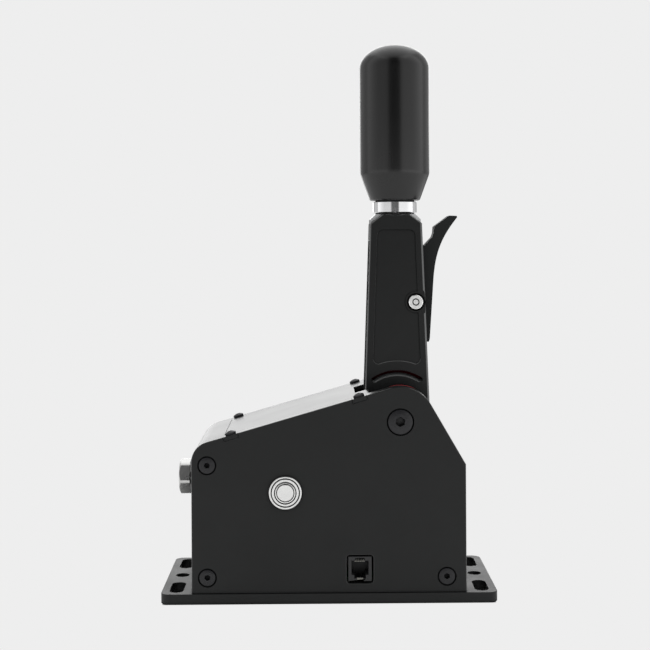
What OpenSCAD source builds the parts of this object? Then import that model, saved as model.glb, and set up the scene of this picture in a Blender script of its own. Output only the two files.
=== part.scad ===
// Sim racing shifter: a sprung lever with a cylindrical grip and a finger trigger,
// carried between two side plates on a slotted base plate.
// Frame: origin at the centre of the base plate's underside, +Z up,
// +X towards the trigger side, -Y towards the plate with the button and the socket.

/* [Base plate] */
// Length of the base plate along X
base_l = 194; // [188:1:210]
// Width of the base plate along Y
base_w = 84; // [80:1:100]
// Thickness of the base plate
base_t = 5.8; // [5:0.1:10]
// Radius of the plate's upright corners
base_corner_r = 5; // [2:0.5:8]
// Distance of the fixing holes and slots from the plate's short edges
fixing_edge = 8.5; // [7:0.5:10]
// Distance of each slot's middle from the plate's long edge
slot_edge = 15; // [14:0.5:18]
// Width of the slots, and diameter of the round holes
fixing_d = 8; // [6:0.5:9]
// Length of each slot from end to end
slot_l = 22; // [14:1:24]

/* [Housing] */
// Length of the side plates along X
house_l = 158; // [156:1:164]
// Thickness of each side plate
side_t = 8; // [7:0.5:9]
// Step from the base plate's long edge in to the side plate's face
side_step = 1; // [0.5:0.5:2]
// Fall of the sloping top towards the front, in degrees
top_fall = 16; // [14:0.5:17]
// Lean of the rear edge from upright, in degrees
rear_lean = 30; // [27:1:33]
// Radius of the round top of the side plates, about the pivot
crown_r = 20.3; // [20.3:0.1:22]
// Radius of the front top corner
front_corner_r = 12; // [11:0.5:14]
// Thickness of the front and rear sheets
sheet_t = 3; // [2:0.5:3.5]
// Thickness of the sloping top cover
cover_t = 2.4; // [2:0.2:3]
// Distance of the seam between the covers behind the front face
seam_back = 18.5; // [17:0.5:19]
// X of the top cover's rear edge
cover_end_x = 23.2; // [23:0.2:25]
// X where the lever's notch in the top cover begins
notch_x = 16.1; // [14:0.1:17]
// Free gap beside the lever in that notch
notch_gap = 1.5; // [1:0.5:3]
// Distance of the front pair of cover screws behind the front face
ear_back = 22.6; // [22:0.1:24]
// X of the rear pair of cover screws
ear_rear_x = 17.7; // [16:0.1:18]
// Width of each cover ear
ear_w = 8.4; // [8:0.2:10]

/* [Pivot] */
// X of the lever's pivot
pivot_x = 41.4; // [40:0.2:43]
// Z of the lever's pivot
pivot_z = 103.6; // [102:0.2:105]
// Diameter of the pivot shaft
shaft_d = 12; // [10:1:12]
// Outer diameter of the pivot bearings
bearing_d = 21; // [20:1:22]
// Width of each pivot bearing
bearing_w = 5; // [4:1:5]
// Outer diameter of the spacer tubes beside the lever
spacer_d = 16; // [15:0.5:17]

/* [Lever] */
// Thickness of the whole lever along Y
lever_t = 26; // [25:1:30]
// Thickness of each lever cheek
cheek_t = 6; // [5:0.5:6.5]
// Half width of the lever at the pivot
lever_half_w = 19.7; // [19:0.1:20]
// Side taper of the lever, in degrees
lever_taper = 2.12; // [1.5:0.02:2.3]
// Z of the cheeks' top edge
cheek_top_z = 223.8; // [222:0.2:226]
// Width of the chamfered corners at the top of the cheeks
cheek_corner_w = 7; // [5:0.5:8]
// Height of those corners
cheek_corner_h = 5.4; // [4:0.2:7]
// Depth of the panel recess in each cheek
panel_depth = 0.5; // [0.3:0.1:1]
// Border between the lever's edge and the panel recess
panel_border = 4.4; // [3.5:0.1:5.5]
// Middle radius of the arc slot above the pivot
arc_r = 25.5; // [24.5:0.1:26]
// Width of the arc slot
arc_w = 3; // [2:0.2:3.4]
// Half angle of the arc slot, in degrees
arc_half = 33; // [25:1:35]
// Depth of the lever's tail below the pivot, to the roller's axis
tail_l = 37.6; // [36:0.2:39]
// Diameter of the tail roller
roller_d = 10; // [9:0.5:11]

/* [Grip] */
// Diameter of the grip
knob_d = 42.2; // [38:0.2:46]
// Length of the grip
knob_l = 94.3; // [85:0.1:105]
// Diameter of the grip's lower end
knob_foot_d = 31; // [29:0.5:33]
// Height of the cone at the grip's lower end
knob_cone_h = 16; // [12:0.5:20]
// Height of the domed end
knob_dome_h = 14.6; // [10:0.2:20]
// Diameter of the lock ring under the grip
ring_d = 26.5; // [24:0.5:28]
// Height of the lock ring
ring_h = 6.7; // [5:0.1:8]
// Diameter of the threaded stud
stud_d = 12; // [10:1:12]
// Thickness of the dark washers above and below the lock ring
washer_t = 0.8; // [0.5:0.1:1.2]

/* [Trigger] */
// X of the trigger's pin
pin_x = 52.9; // [52:0.1:53.5]
// Z of the trigger's pin
pin_z = 171.3; // [170:0.1:173]
// Diameter of the trigger's pin
pin_d = 5; // [4:0.5:5]
// Diameter of the pin's head
pin_head_d = 8.8; // [8:0.1:9.4]
// X of the trigger's tip
tip_x = 78.4; // [76:0.2:80]
// Z of the trigger's tip
tip_z = 222.8; // [220:0.2:226]

/* [Spring gear] */
// Diameter of the shuttle rod
rod_d = 10; // [9:0.5:10]
// Outer diameter of the centring springs
spring_d = 20; // [19:0.5:21]
// Wire diameter of the centring springs
spring_wire = 2.5; // [1.5:0.1:2.6]
// Thickness of the guide block along X
guide_t = 14; // [12:1:15]
// Thread diameter of the adjuster bolt
bolt_d = 12; // [10:1:12]
// Distance across the flats of the adjuster bolt's head
bolt_flats = 19; // [17:1:19]
// Height of the adjuster bolt's head
bolt_head_h = 7.5; // [6:0.5:8]
// Free thread between the bolt's head and the front cover
bolt_free = 4; // [3.8:0.1:5]

/* [Controls] */
// X of the push button
button_x = -25; // [-30:0.5:-20]
// Z of the push button
button_z = 63.6; // [60:0.2:70]
// Outer diameter of the button's bezel
bezel_d = 19; // [18:0.2:21]
// Thread diameter of the button's body
button_d = 16; // [14:0.5:16]
// Diameter of the button's cap
cap_d = 12; // [10:0.2:12]
// Travel of the button
button_travel = 1.2; // [0.8:0.1:1.6]
// X of the socket's middle
jack_x = 17.7; // [16:0.1:22]
// Width of the socket's body
jack_w = 13.5; // [13:0.1:15]
// Height of the socket's body
jack_h = 14.1; // [13.6:0.1:15]
// Depth of the socket's body along Y
jack_depth = 16; // [15:0.5:17]
// Thickness of the circuit boards
board_t = 1.6; // [1:0.1:2]
// Height of the board posts on the base plate
post_h = 4.9; // [4.5:0.1:6]

/* [Fasteners] */
// Thread diameter of the side plate screws
plate_screw_d = 5; // [4:0.5:5.5]
// Head diameter of the side plate screws
plate_head_d = 9.3; // [9:0.1:10.2]
// Thread diameter of the pivot screws
pivot_screw_d = 8; // [7:0.5:8]
// Head diameter of the pivot screws
pivot_head_d = 14.2; // [14:0.1:15.4]
// Thread diameter of the small screws
small_screw_d = 4; // [3:0.5:4]
// Head diameter of the small countersunk screws
small_head_d = 7.4; // [7:0.1:8]
// Head diameter of the cover's button head screws
cover_head_d = 6.4; // [6:0.1:7]
// Free gap round a fixed round fit, on the radius
fit = 0.05; // [0.03:0.01:0.1]
// Running gap round a turning or sliding fit, on the radius
run = 0.03; // [0.02:0.01:0.08]

/* [Hidden] */
$fn = 72;
eps = 0.01;

// Housing planes
side_out = base_w / 2 - side_step;
side_in = side_out - side_t;
front_x = -house_l / 2;
rear_x = house_l / 2;
base_top = base_t;
seam_x = front_x + seam_back;
seam_gap = 0.3;
ear_front_x = front_x + ear_back;
groove = 1.5;
face_gap = 0.1;
fixing_x = base_l / 2 - fixing_edge;
slot_y = base_w / 2 - slot_edge;

// Cross members between the side plates
bar_w = 14;
bar_h = 16;
screw_front_x = front_x + 9;
screw_rear_x = rear_x - 11.3;
screw_low_z = base_top + 9.05;
screw_high_z = 79.3;
plate_screw_l = 20;
panel_screw_gap = 1.5;
panel_screw_y = side_out - plate_screw_l - small_screw_d / 2 - panel_screw_gap;
panel_screw_l = 10;
cover_screw_l = 10;
pivot_screw_l = 22;
base_screw_y = 9;
base_screw_l = 15;
block_w = 16;
block_low_z = 54;
block_top_z = screw_high_z + 6.5;

// Lines of the sloping top and of the leaning rear edge
slope_n = [-sin(top_fall), cos(top_fall)];
lean_n = [cos(rear_lean), sin(rear_lean)];
pivot = [pivot_x, pivot_z];
rear_start = 12.5;
corner_x = front_x + front_corner_r;
corner_z = (slope_n * pivot + crown_r - front_corner_r + sin(top_fall) * corner_x) / cos(top_fall);
function slope_z(x) = pivot_z + (crown_r + sin(top_fall) * (x - pivot_x)) / cos(top_fall);

// Lever
swing = 8;
cheek_in = lever_t / 2 - cheek_t;
cheek_out = lever_t / 2;
core_gap = 0.05;
side_wall = 3.5;
core_half = lever_half_w - side_wall - 1;
core_top_r = arc_r + arc_w / 2 + 2.5;
core_hub_r = 17;
neck_low_z = 208;
neck_top_z = cheek_top_z + 0.3;
cavity_x = 43;
cavity_low_z = 146;
roller_z = pivot_z - tail_l;
ear_t = 2.8;
roller_half = cheek_in - ear_t - 0.2;
roller_pin_d = 4;
tail_travel = tail_l * swing * PI / 180;
fork_top_z = pivot_z - core_hub_r;
cheek_screw_l = lever_t - 2;
cheek_screw_at = [
    [pivot_x - 10.4, neck_top_z - 9.6], [pivot_x + 10.4, neck_top_z - 9.6],
    [pivot_x - 8, pin_z + 20], [pivot_x - 8.4, pin_z - 12],
    [pivot_x - 8.4, cavity_low_z - 5], [pivot_x + 9.6, cavity_low_z - 5],
    [pivot_x - 9.9, pivot_z + 14.4], [pivot_x + 9.9, pivot_z + 14.4]];

// Grip stack, from the neck up
ring_low_z = neck_top_z + washer_t;
ring_top_z = ring_low_z + ring_h;
knob_low_z = ring_top_z + washer_t;
knob_top_z = knob_low_z + knob_l;
stud_low_z = neck_low_z + 1;
stud_grip = 27;
stud_top_z = knob_low_z + stud_grip;

// Trigger
trigger_half = cheek_in - 0.3;
trigger_face_x = pin_x + 0.1;
plunger_z = pin_z + 11.2;
switch_h = 6.5;
switch_x1 = cavity_x + switch_h;
trigger_hub_r = 5.8;
trigger_spring_z = pin_z + 26.7;
pin_head_t = 2.4;
pin_proud = 0.3;
pin_well_d = 10.8;

// Spring gear, along X from the pivot's plane
bolt_reach = 4;
bolt_tip_x = front_x + sheet_t + block_w + bolt_reach;
seat_t = 5;
seat_x = bolt_tip_x + face_gap;
spigot_l = 6;
pilot_l = 6;
pilot_d = 8;
spring_front_x = seat_x + seat_t;
collar_t = 5;
pad_t = 3;
pad_gap = 0.95;
post_t = 5;
yoke_gap = 0.1;
yoke_half = roller_half - yoke_gap;
yoke_x = pivot_x - roller_d / 2 - yoke_gap - post_t;
yoke_l = 2 * post_t + roller_d + 2 * yoke_gap;
yoke_low_z = roller_z - 9;
yoke_top_z = roller_z + 9;
guide_x = yoke_x - tail_travel - pad_gap - pad_t - guide_t;
spring_l = (guide_x - spring_front_x - collar_t) / 2;
collar_x = spring_front_x + spring_l;
bush_d = spring_d - 2 * spring_wire - 1;
bush_gap = 0.6;
bush_front_x = collar_x + collar_t + tail_travel + bush_gap;
guide_half = 16;
guide_top_z = roller_z + 13;
bolt_head_x = front_x - bolt_free - bolt_head_h;
bolt_turn = 49.4;

// Push button
bezel_h = 1.6;
bezel_y = -side_out - bezel_h;
bore_depth = 12;
cap_l = 9;
cap_proud = 0.1;
button_nut_t = 3;

// Boards and socket
board_x0 = -12;
board_x1 = 50;
board_y0 = -side_in + 0.6;
board_y1 = -guide_half - 1;
board_z = base_top + post_h;
post_at = [for (x = [board_x0 + 3, board_x1 - 3]) for (y = [board_y0 + 3, board_y1 - 3]) [x, y]];
post_d = 5;
post_screw_d = 2.4;
post_hole_d = 2.6;
post_head_d = 4.6;
post_head_t = 1.6;
jack_z = board_z + board_t;
jack_y = -side_out + 0.5;
socket_gap = 0.9;
opening_w = 9.8;
opening_low = 3.6;
opening_h = 8.1;
opening_depth = 12;
sensor_y = 13;
sensor_w = 30;
sensor_h = 20;
magnet_z = roller_z + 14;
sensor_low_z = magnet_z + 3 - sensor_h;
sensor_post_at = [
    [pivot_x - sensor_w / 2 + 4, sensor_low_z + 4],
    [pivot_x + sensor_w / 2 - 4, sensor_low_z + sensor_h - 4]];
chip_w = 4;
chip_t = 1.5;
magnet_d = 6;
magnet_t = 2;

// An upright outline in X and Z, given a thickness between two Y planes
module upright(y_low, y_high) {
    translate([0, y_high, 0]) rotate([90, 0, 0]) linear_extrude(y_high - y_low) children();
}

// A round bar along Y between two planes
module bar_y(x, z, d, y_low, y_high) {
    translate([x, y_low, z]) rotate([-90, 0, 0]) cylinder(h = y_high - y_low, d = d);
}

// A round bar along X between two planes
module bar_x(y, z, d, x_low, x_high) {
    translate([x_low, y, z]) rotate([0, 90, 0]) cylinder(h = x_high - x_low, d = d);
}

// Points along an arc about a centre, between two directions
function arc(centre, r, from, to, steps) =
    [for (i = [0 : steps]) let (a = from + (to - from) * i / steps) centre + r * [cos(a), sin(a)]];

// A convex outline with round corners of one radius
function unit(v) = v / norm(v);
function corner_in(p, i, r) =
    let (n = len(p), a = unit(p[(i + n - 1) % n] - p[i]), b = unit(p[(i + 1) % n] - p[i]),
         half = acos(a * b) / 2)
    [p[i] + a * r / tan(half), p[i] + unit(a + b) * r / sin(half), p[i] + b * r / tan(half)];
function direction(v) = atan2(v[1], v[0]);
function short_way(a, b) = a + ((b - a + 540) % 360) - 180;
module rounded(p, r) {
    polygon([for (i = [0 : len(p) - 1])
        let (k = corner_in(p, i, r), a = direction(k[0] - k[1]), b = direction(k[2] - k[1]))
        each arc(k[1], r, a, short_way(a, b), 8)]);
}

// The housing's outline seen from the side, drawn in by an inset
module housing_outline(inset) {
    r_top = crown_r - inset;
    r_front = front_corner_r - inset;
    x_front = front_x + inset;
    x_rear = rear_x - inset;
    lean_start = pivot + r_top * lean_n;
    lean_end_z = lean_start[1] - (x_rear - lean_start[0]) / tan(rear_lean);
    polygon(concat(
        [[x_front, base_top]],
        arc([corner_x, corner_z], r_front, 180, 90 + top_fall, 16),
        arc(pivot, r_top, 90 + top_fall, rear_lean, 20),
        [[x_rear, lean_end_z], [x_rear, base_top]]));
}

// A countersunk screw along +Z with its flat head at the origin, and the hole it sits in
module flat_screw(d, head_d, length, socket) {
    head_h = (head_d - d) / 2;
    difference() {
        union() {
            cylinder(h = head_h, d1 = head_d, d2 = d);
            cylinder(h = length, d = d);
        }
        translate([0, 0, -eps]) cylinder(h = head_h * 0.8, d = socket / cos(30), $fn = 6);
    }
}
module flat_hole(d, head_d, length) {
    head_h = (head_d - d) / 2;
    moat = 1.7;
    translate([0, 0, -eps]) cylinder(h = head_h * 0.55, d = head_d + moat);
    translate([0, 0, -eps]) cylinder(h = head_h + eps, d1 = head_d + 2 * fit, d2 = d + 2 * fit);
    translate([0, 0, -eps]) cylinder(h = length + 0.3, d = d + 2 * fit);
}

// Screw places on the side plates
plate_screw_at = [
    [screw_front_x, screw_high_z], [screw_front_x, screw_low_z], [screw_rear_x, screw_low_z]];
module at_side(x, z, side) {
    translate([x, side * side_out, z]) rotate([side * 90, 0, 0]) children();
}
module plate_screw_set(side) {
    for (p = plate_screw_at) at_side(p[0], p[1], side)
        flat_screw(plate_screw_d, plate_head_d, plate_screw_l, 3);
}
module plate_screw_holes(side) {
    for (p = plate_screw_at) at_side(p[0], p[1], side)
        flat_hole(plate_screw_d, plate_head_d, plate_screw_l);
}
module pivot_screw_holes() {
    for (side = [-1, 1]) at_side(pivot_x, pivot_z, side)
        flat_hole(pivot_screw_d, pivot_head_d, pivot_screw_l);
}

// Screws from below the base plate, all countersunk
module under_base(x, y) {
    translate([x, y, 0]) children();
}
base_screw_at = [
    for (x = [screw_front_x + 1, screw_rear_x + 1]) for (y = [-base_screw_y, base_screw_y]) [x, y]];
guide_screw_at = [for (y = [-guide_half + 5, guide_half - 5]) [guide_x + guide_t / 2, y]];
module base_screw_holes(places) {
    for (p = places) under_base(p[0], p[1]) flat_hole(plate_screw_d, plate_head_d, base_screw_l);
}

module fixing_cuts() {
    for (sx = [-1, 1]) {
        translate([sx * fixing_x, 0, -1]) cylinder(h = base_t + 2, d = fixing_d);
        for (sy = [-1, 1]) translate([sx * fixing_x, sy * slot_y, -1]) linear_extrude(base_t + 2) {
            square([fixing_d, slot_l - fixing_d], center = true);
            for (e = [-1, 1]) translate([0, e * (slot_l - fixing_d) / 2]) circle(d = fixing_d);
        }
    }
}

module base_plate() {
    corners = [
        [-base_l / 2, -base_w / 2], [base_l / 2, -base_w / 2],
        [base_l / 2, base_w / 2], [-base_l / 2, base_w / 2]];
    color("#232425") difference() {
        linear_extrude(base_t) rounded(corners, base_corner_r);
        fixing_cuts();
        base_screw_holes(concat(base_screw_at, guide_screw_at));
    }
}

module base_screws() {
    color("#2a2a2c") for (p = base_screw_at)
        under_base(p[0], p[1]) flat_screw(plate_screw_d, plate_head_d, base_screw_l, 3);
}

module base_bar(x_low) {
    color("#8d8f92") difference() {
        translate([x_low, -side_in, base_top]) cube([bar_w, 2 * side_in, bar_h]);
        base_screw_holes(base_screw_at);
        for (side = [-1, 1]) plate_screw_holes(side);
        front_cover_screw_holes();
        rear_panel_screw_holes();
    }
}
module front_base_bar() {
    base_bar(front_x + sheet_t);
}
module rear_base_bar() {
    base_bar(rear_x - sheet_t - bar_w);
}

// The ears of the top cover, laid in notches in the side plates' sloping edge
module on_slope(x) {
    translate([x, 0, slope_z(x)]) rotate([0, -top_fall, 0]) children();
}
module ear_notches(side) {
    reach = side_t + 2;
    for (x = [ear_front_x, ear_rear_x]) on_slope(x)
        translate([-ear_w / 2 - face_gap, side > 0 ? side_in - 1 : -side_in + 1 - reach, -cover_t])
            cube([ear_w + 2 * face_gap, reach, cover_t + 2]);
}
module cover_screw_places() {
    for (x = [ear_front_x, ear_rear_x]) for (side = [-1, 1])
        on_slope(x) translate([0, side * (side_in + side_t / 2), 0]) children();
}

// The front and rear sheets lie in rebates along the side plates' edges
module front_end() {
    translate([front_x - 5, base_top - 5]) square([seam_x - front_x + 5, 150]);
}
module rear_end() {
    start = pivot + crown_r * lean_n + rear_start * [sin(rear_lean), -cos(rear_lean)];
    inner = start - 10 * lean_n;
    outer = start + 60 * lean_n;
    polygon([inner, outer, [outer[0], base_top - 5], [inner[0], base_top - 5]]);
}
module sheet_outline() {
    intersection() {
        difference() {
            housing_outline(0);
            housing_outline(sheet_t);
        }
        children();
    }
}
module rebate_outline() {
    difference() {
        children();
        housing_outline(sheet_t);
    }
}

module side_plate(side) {
    y_low = side > 0 ? side_in : -side_out;
    groove_low = side > 0 ? side_in - 1 : -side_in - groove;
    difference() {
        upright(y_low, y_low + side_t) housing_outline(0);
        plate_screw_holes(side);
        pivot_screw_holes();
        ear_notches(side);
        cover_screw_places() translate([0, 0, -cover_screw_l - 0.5])
            cylinder(h = cover_screw_l, d = small_screw_d + 2 * fit);
        upright(groove_low, groove_low + groove + 1) rebate_outline() front_end();
        upright(groove_low, groove_low + groove + 1) rebate_outline() rear_end();
    }
}

module near_side_plate() {
    half = jack_w / 2 + socket_gap;
    low = jack_z - 1.1;
    high = jack_z + jack_h + 1;
    socket_cut = [[jack_x - half, low], [jack_x + half, low], [jack_x + half, high], [jack_x - half, high]];
    color("#2b2c2e") difference() {
        side_plate(-1);
        bar_y(button_x, button_z, button_d + 2 * fit, -side_out - 1, -side_in + 1);
        upright(-side_out - 1, -side_in + 1) rounded(socket_cut, 2);
    }
}
module far_side_plate() {
    color("#2b2c2e") side_plate(1);
}
module near_plate_screws() {
    color("#1d1d1f") plate_screw_set(-1);
}
module far_plate_screws() {
    color("#1d1d1f") plate_screw_set(1);
}

module top_cover() {
    width = side_in - face_gap;
    notch_half = lever_t / 2 + notch_gap;
    color("#2f3032") difference() {
        union() {
            upright(-width, width) intersection() {
                difference() {
                    housing_outline(0);
                    housing_outline(cover_t);
                }
                translate([seam_x + seam_gap, 60]) square([cover_end_x - seam_x, 100]);
            }
            for (side = [-1, 1]) for (x = [ear_front_x, ear_rear_x]) on_slope(x)
                translate([-ear_w / 2, side > 0 ? width - 1 : -side_out, -cover_t])
                    cube([ear_w, side_out - width + 1, cover_t]);
        }
        translate([notch_x, -notch_half, 60]) cube([40, 2 * notch_half, 100]);
        cover_screw_places() translate([0, 0, -cover_t - 1])
            cylinder(h = cover_t + 2, d = small_screw_d + 0.4);
    }
}

module cover_screws() {
    head_h = 2.2;
    color("#1d1d1f") cover_screw_places() difference() {
        union() {
            rotate_extrude() intersection() {
                translate([0, -3.2]) circle(r = 5.4);
                square([cover_head_d / 2, head_h]);
            }
            translate([0, 0, -cover_screw_l]) cylinder(h = cover_screw_l + eps, d = small_screw_d);
        }
        translate([0, 0, head_h - 1.4]) cylinder(h = 2, d = 2.5 / cos(30), $fn = 6);
    }
}

// The front cover: a bent sheet that closes the front and turns over the corner
module front_screw_places() {
    for (z = [screw_low_z, roller_z]) for (side = [-1, 1])
        translate([front_x, side * panel_screw_y, z]) rotate([0, 90, 0]) children();
}
module front_cover_screw_holes() {
    front_screw_places() flat_hole(small_screw_d, small_head_d, panel_screw_l);
}
module front_cover() {
    reach = side_in + groove - face_gap;
    color("#2b2c2e") difference() {
        upright(-reach, reach) sheet_outline() front_end();
        front_cover_screw_holes();
        bar_x(0, roller_z, bolt_d + 1, front_x - 1, front_x + sheet_t + 1);
    }
}
module front_cover_screws() {
    color("#1d1d1f") front_screw_places() flat_screw(small_screw_d, small_head_d, panel_screw_l, 2.5);
}

module rear_screw_places() {
    for (side = [-1, 1])
        translate([rear_x, side * panel_screw_y, screw_low_z]) rotate([0, -90, 0]) children();
}
module rear_panel_screw_holes() {
    rear_screw_places() flat_hole(small_screw_d, small_head_d, panel_screw_l);
}
module rear_panel() {
    reach = side_in + groove - face_gap;
    color("#2b2c2e") difference() {
        upright(-reach, reach) sheet_outline() rear_end();
        rear_panel_screw_holes();
    }
}
module rear_panel_screws() {
    color("#1d1d1f") rear_screw_places() flat_screw(small_screw_d, small_head_d, panel_screw_l, 2.5);
}

// The block behind the front cover that carries the adjuster bolt's thread
module front_block() {
    x_low = front_x + sheet_t;
    cut = 4;
    color("#8d8f92") difference() {
        upright(-side_in, side_in) polygon([
            [x_low, block_low_z], [x_low + block_w, block_low_z], [x_low + block_w, block_top_z],
            [x_low + cut, block_top_z], [x_low, corner_z]]);
        for (side = [-1, 1]) plate_screw_holes(side);
        front_cover_screw_holes();
        bar_x(0, roller_z, bolt_d + 0.2, x_low - 1, x_low + block_w + 1);
    }
}

module pivot_shaft() {
    color("#b9bcc0") difference() {
        bar_y(pivot_x, pivot_z, shaft_d, -side_in, side_in);
        pivot_screw_holes();
    }
}
module pivot_screws() {
    color("#1d1d1f") for (side = [-1, 1]) at_side(pivot_x, pivot_z, side)
        flat_screw(pivot_screw_d, pivot_head_d, pivot_screw_l, 5);
}
module pivot_spacers() {
    color("#9a9da1") for (side = [-1, 1]) difference() {
        bar_y(pivot_x, pivot_z, spacer_d,
              side > 0 ? cheek_in + face_gap : -side_in, side > 0 ? side_in : -cheek_in - face_gap);
        bar_y(pivot_x, pivot_z, shaft_d + 2 * fit, -side_in - 1, side_in + 1);
    }
}
module pivot_bearings() {
    color("#c4c6c9") for (side = [-1, 1]) difference() {
        bar_y(pivot_x, pivot_z, bearing_d,
              side > 0 ? cheek_in - bearing_w : -cheek_in, side > 0 ? cheek_in : -cheek_in + bearing_w);
        bar_y(pivot_x, pivot_z, shaft_d + 2 * run, -side_in, side_in);
    }
}

// The lever's outline from the side: a round foot about the pivot and two tapered edges
function lever_half(z) = lever_half_w - tan(lever_taper) * (z - pivot_z);
module lever_outline(inset, top_z, corner_w, corner_h) {
    top = lever_half(top_z) - inset / cos(lever_taper);
    low = lever_half(top_z - corner_h) - inset / cos(lever_taper);
    polygon(concat(
        arc(pivot, lever_half_w * cos(lever_taper) - inset, 180 - lever_taper, 360 + lever_taper, 40),
        [[pivot_x + low, top_z - corner_h], [pivot_x + top - corner_w, top_z],
         [pivot_x - top + corner_w, top_z], [pivot_x - low, top_z - corner_h]]));
}

module arc_slot() {
    right = 90 - arc_half;
    left = 90 + arc_half;
    polygon(concat(
        arc(pivot, arc_r + arc_w / 2, right, left, 24),
        arc(pivot + arc_r * [cos(left), sin(left)], arc_w / 2, left, left + 180, 10),
        arc(pivot, arc_r - arc_w / 2, left, right, 24),
        arc(pivot + arc_r * [cos(right), sin(right)], arc_w / 2, right + 180, right + 360, 10)));
}

// The sunk panel on a cheek, arched above the arc slot and notched round the pin
module panel_outline() {
    top_z = cheek_top_z - 9.1;
    low_z = pivot_z + 30.8;
    difference() {
        rounded([
            [pivot_x - lever_half(low_z) + panel_border, low_z],
            [pivot_x + lever_half(low_z) - panel_border, low_z],
            [pivot_x + lever_half(top_z) - panel_border, top_z],
            [pivot_x - lever_half(top_z) + panel_border, top_z]], 3.5);
        translate(pivot) circle(core_top_r + 3.3);
        translate([pin_x, pin_z]) circle(pin_well_d / 2 + 0.9);
    }
}

module cheek_blank(side) {
    y_low = side > 0 ? cheek_in : -cheek_out;
    recess_low = side > 0 ? cheek_out - panel_depth : -cheek_out - 1;
    difference() {
        upright(y_low, y_low + cheek_t) lever_outline(0, cheek_top_z, cheek_corner_w, cheek_corner_h);
        upright(recess_low, recess_low + panel_depth + 1) panel_outline();
        upright(y_low - 1, y_low + cheek_t + 1) arc_slot();
        bar_y(pivot_x, pivot_z, spacer_d + 1, -cheek_out - 1, cheek_out + 1);
        bar_y(pin_x, pin_z, pin_d + 2 * fit, -cheek_out - 1, cheek_out - 1);
        cheek_screw_holes();
    }
}
module cheek_screw_places() {
    for (p = cheek_screw_at) translate([p[0], cheek_out, p[1]]) rotate([90, 0, 0]) children();
}
module cheek_screw_holes() {
    cheek_screw_places() translate([0, 0, panel_depth])
        flat_hole(small_screw_d, small_head_d, cheek_screw_l - panel_depth - 1);
}
module near_cheek() {
    color("#2a2b2d") difference() {
        cheek_blank(-1);
        bar_y(pin_x, pin_z, pin_well_d, -cheek_out - 1, -cheek_out + pin_head_t - pin_proud);
    }
}
module far_cheek() {
    color("#2a2b2d") difference() {
        cheek_blank(1);
        cheek_screw_places() translate([0, 0, -1]) cylinder(h = 1 + panel_depth, d = small_head_d + 1.2);
    }
}
module cheek_screws() {
    color("#1d1d1f") cheek_screw_places() translate([0, 0, panel_depth])
        flat_screw(small_screw_d, small_head_d, cheek_screw_l - panel_depth - 1, 2.5);
}

// The red core between the cheeks: hub, arc-topped body and forked tail
module core_outline(grow) {
    translate(pivot) {
        circle(core_hub_r + grow);
        intersection() {
            circle(core_top_r + grow);
            translate([-core_half - grow, 0]) square([2 * (core_half + grow), 60]);
        }
    }
}
module lever_core() {
    tail_w = roller_d + 4;
    color("#8c1418") difference() {
        upright(-cheek_in, cheek_in) {
            core_outline(0);
            translate([pivot_x - tail_w / 2, roller_z]) square([tail_w, tail_l]);
            translate([pivot_x, roller_z]) circle(d = tail_w);
        }
        upright(-roller_half - 0.2, roller_half + 0.2)
            translate([pivot_x - tail_w, roller_z - tail_w])
                square([2 * tail_w, fork_top_z - roller_z + tail_w]);
        for (side = [-1, 1])
            bar_y(pivot_x, pivot_z, bearing_d + 2 * fit,
                  side > 0 ? cheek_in - bearing_w : -cheek_in - 1,
                  side > 0 ? cheek_in + 1 : -cheek_in + bearing_w);
        bar_y(pivot_x, pivot_z, shaft_d + 2, -cheek_in - 1, cheek_in + 1);
        bar_y(pivot_x, roller_z, roller_pin_d + 2 * fit, -cheek_in - 1, cheek_in + 1);
        bar_y(pivot_x, magnet_z, magnet_d + 2 * fit, cheek_in - magnet_t, cheek_in + 1);
        cheek_screw_holes();
    }
}

module spine_outline() {
    difference() {
        intersection() {
            lever_outline(0.7, cheek_top_z, cheek_corner_w, cheek_corner_h);
            translate([pivot_x - 40, pivot_z]) square([80, neck_low_z - face_gap - pivot_z]);
        }
        core_outline(core_gap);
        translate([cavity_x, cavity_low_z]) square([60, 100]);
    }
}
module lever_spine() {
    color("#232426") difference() {
        upright(-cheek_in, cheek_in) spine_outline();
        bar_x(0, trigger_spring_z, 6.6, cavity_x - 2, cavity_x + 1);
        cheek_screw_holes();
    }
}

module neck_block() {
    color("#c9cbce") difference() {
        upright(-cheek_in, cheek_in) intersection() {
            lever_outline(0.1, neck_top_z, 3.3, 3.2);
            translate([pivot_x - 40, neck_low_z]) square([80, 60]);
        }
        translate([pivot_x, 0, stud_low_z - 0.2]) cylinder(h = 40, d = stud_d + 2 * fit);
        cheek_screw_holes();
    }
}
module knob_stud() {
    color("#a8abaf") translate([pivot_x, 0, stud_low_z]) cylinder(h = stud_top_z - stud_low_z, d = stud_d);
}
module ring_at(z_low, h, d) {
    translate([pivot_x, 0, z_low]) difference() {
        cylinder(h = h, d = d);
        translate([0, 0, -1]) cylinder(h = h + 2, d = stud_d + 2 * fit);
    }
}
module lock_ring() {
    color("#d2d4d6") ring_at(ring_low_z, ring_h, ring_d);
}
module ring_washers() {
    color("#1a1a1b") for (z = [neck_top_z, ring_top_z]) ring_at(z, washer_t, ring_d - 3);
}

// The grip turned from half its section: cone, cylinder and an elliptical dome
module knob() {
    side = [[0, 0], [knob_foot_d / 2 - 1, 0], [knob_foot_d / 2, 1],
        [knob_d / 2 - 0.5, knob_cone_h - 1], [knob_d / 2, knob_cone_h + 0.6]];
    dome = [for (a = [0 : 5 : 90])
        [knob_d / 2 * cos(a), knob_l - knob_dome_h + knob_dome_h * sin(a)]];
    color("#3a3b3d") translate([pivot_x, 0, knob_low_z]) difference() {
        rotate_extrude() polygon(concat(side, dome));
        translate([0, 0, -1]) cylinder(h = stud_top_z - knob_low_z + 2, d = stud_d + 2 * fit);
    }
}

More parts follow.
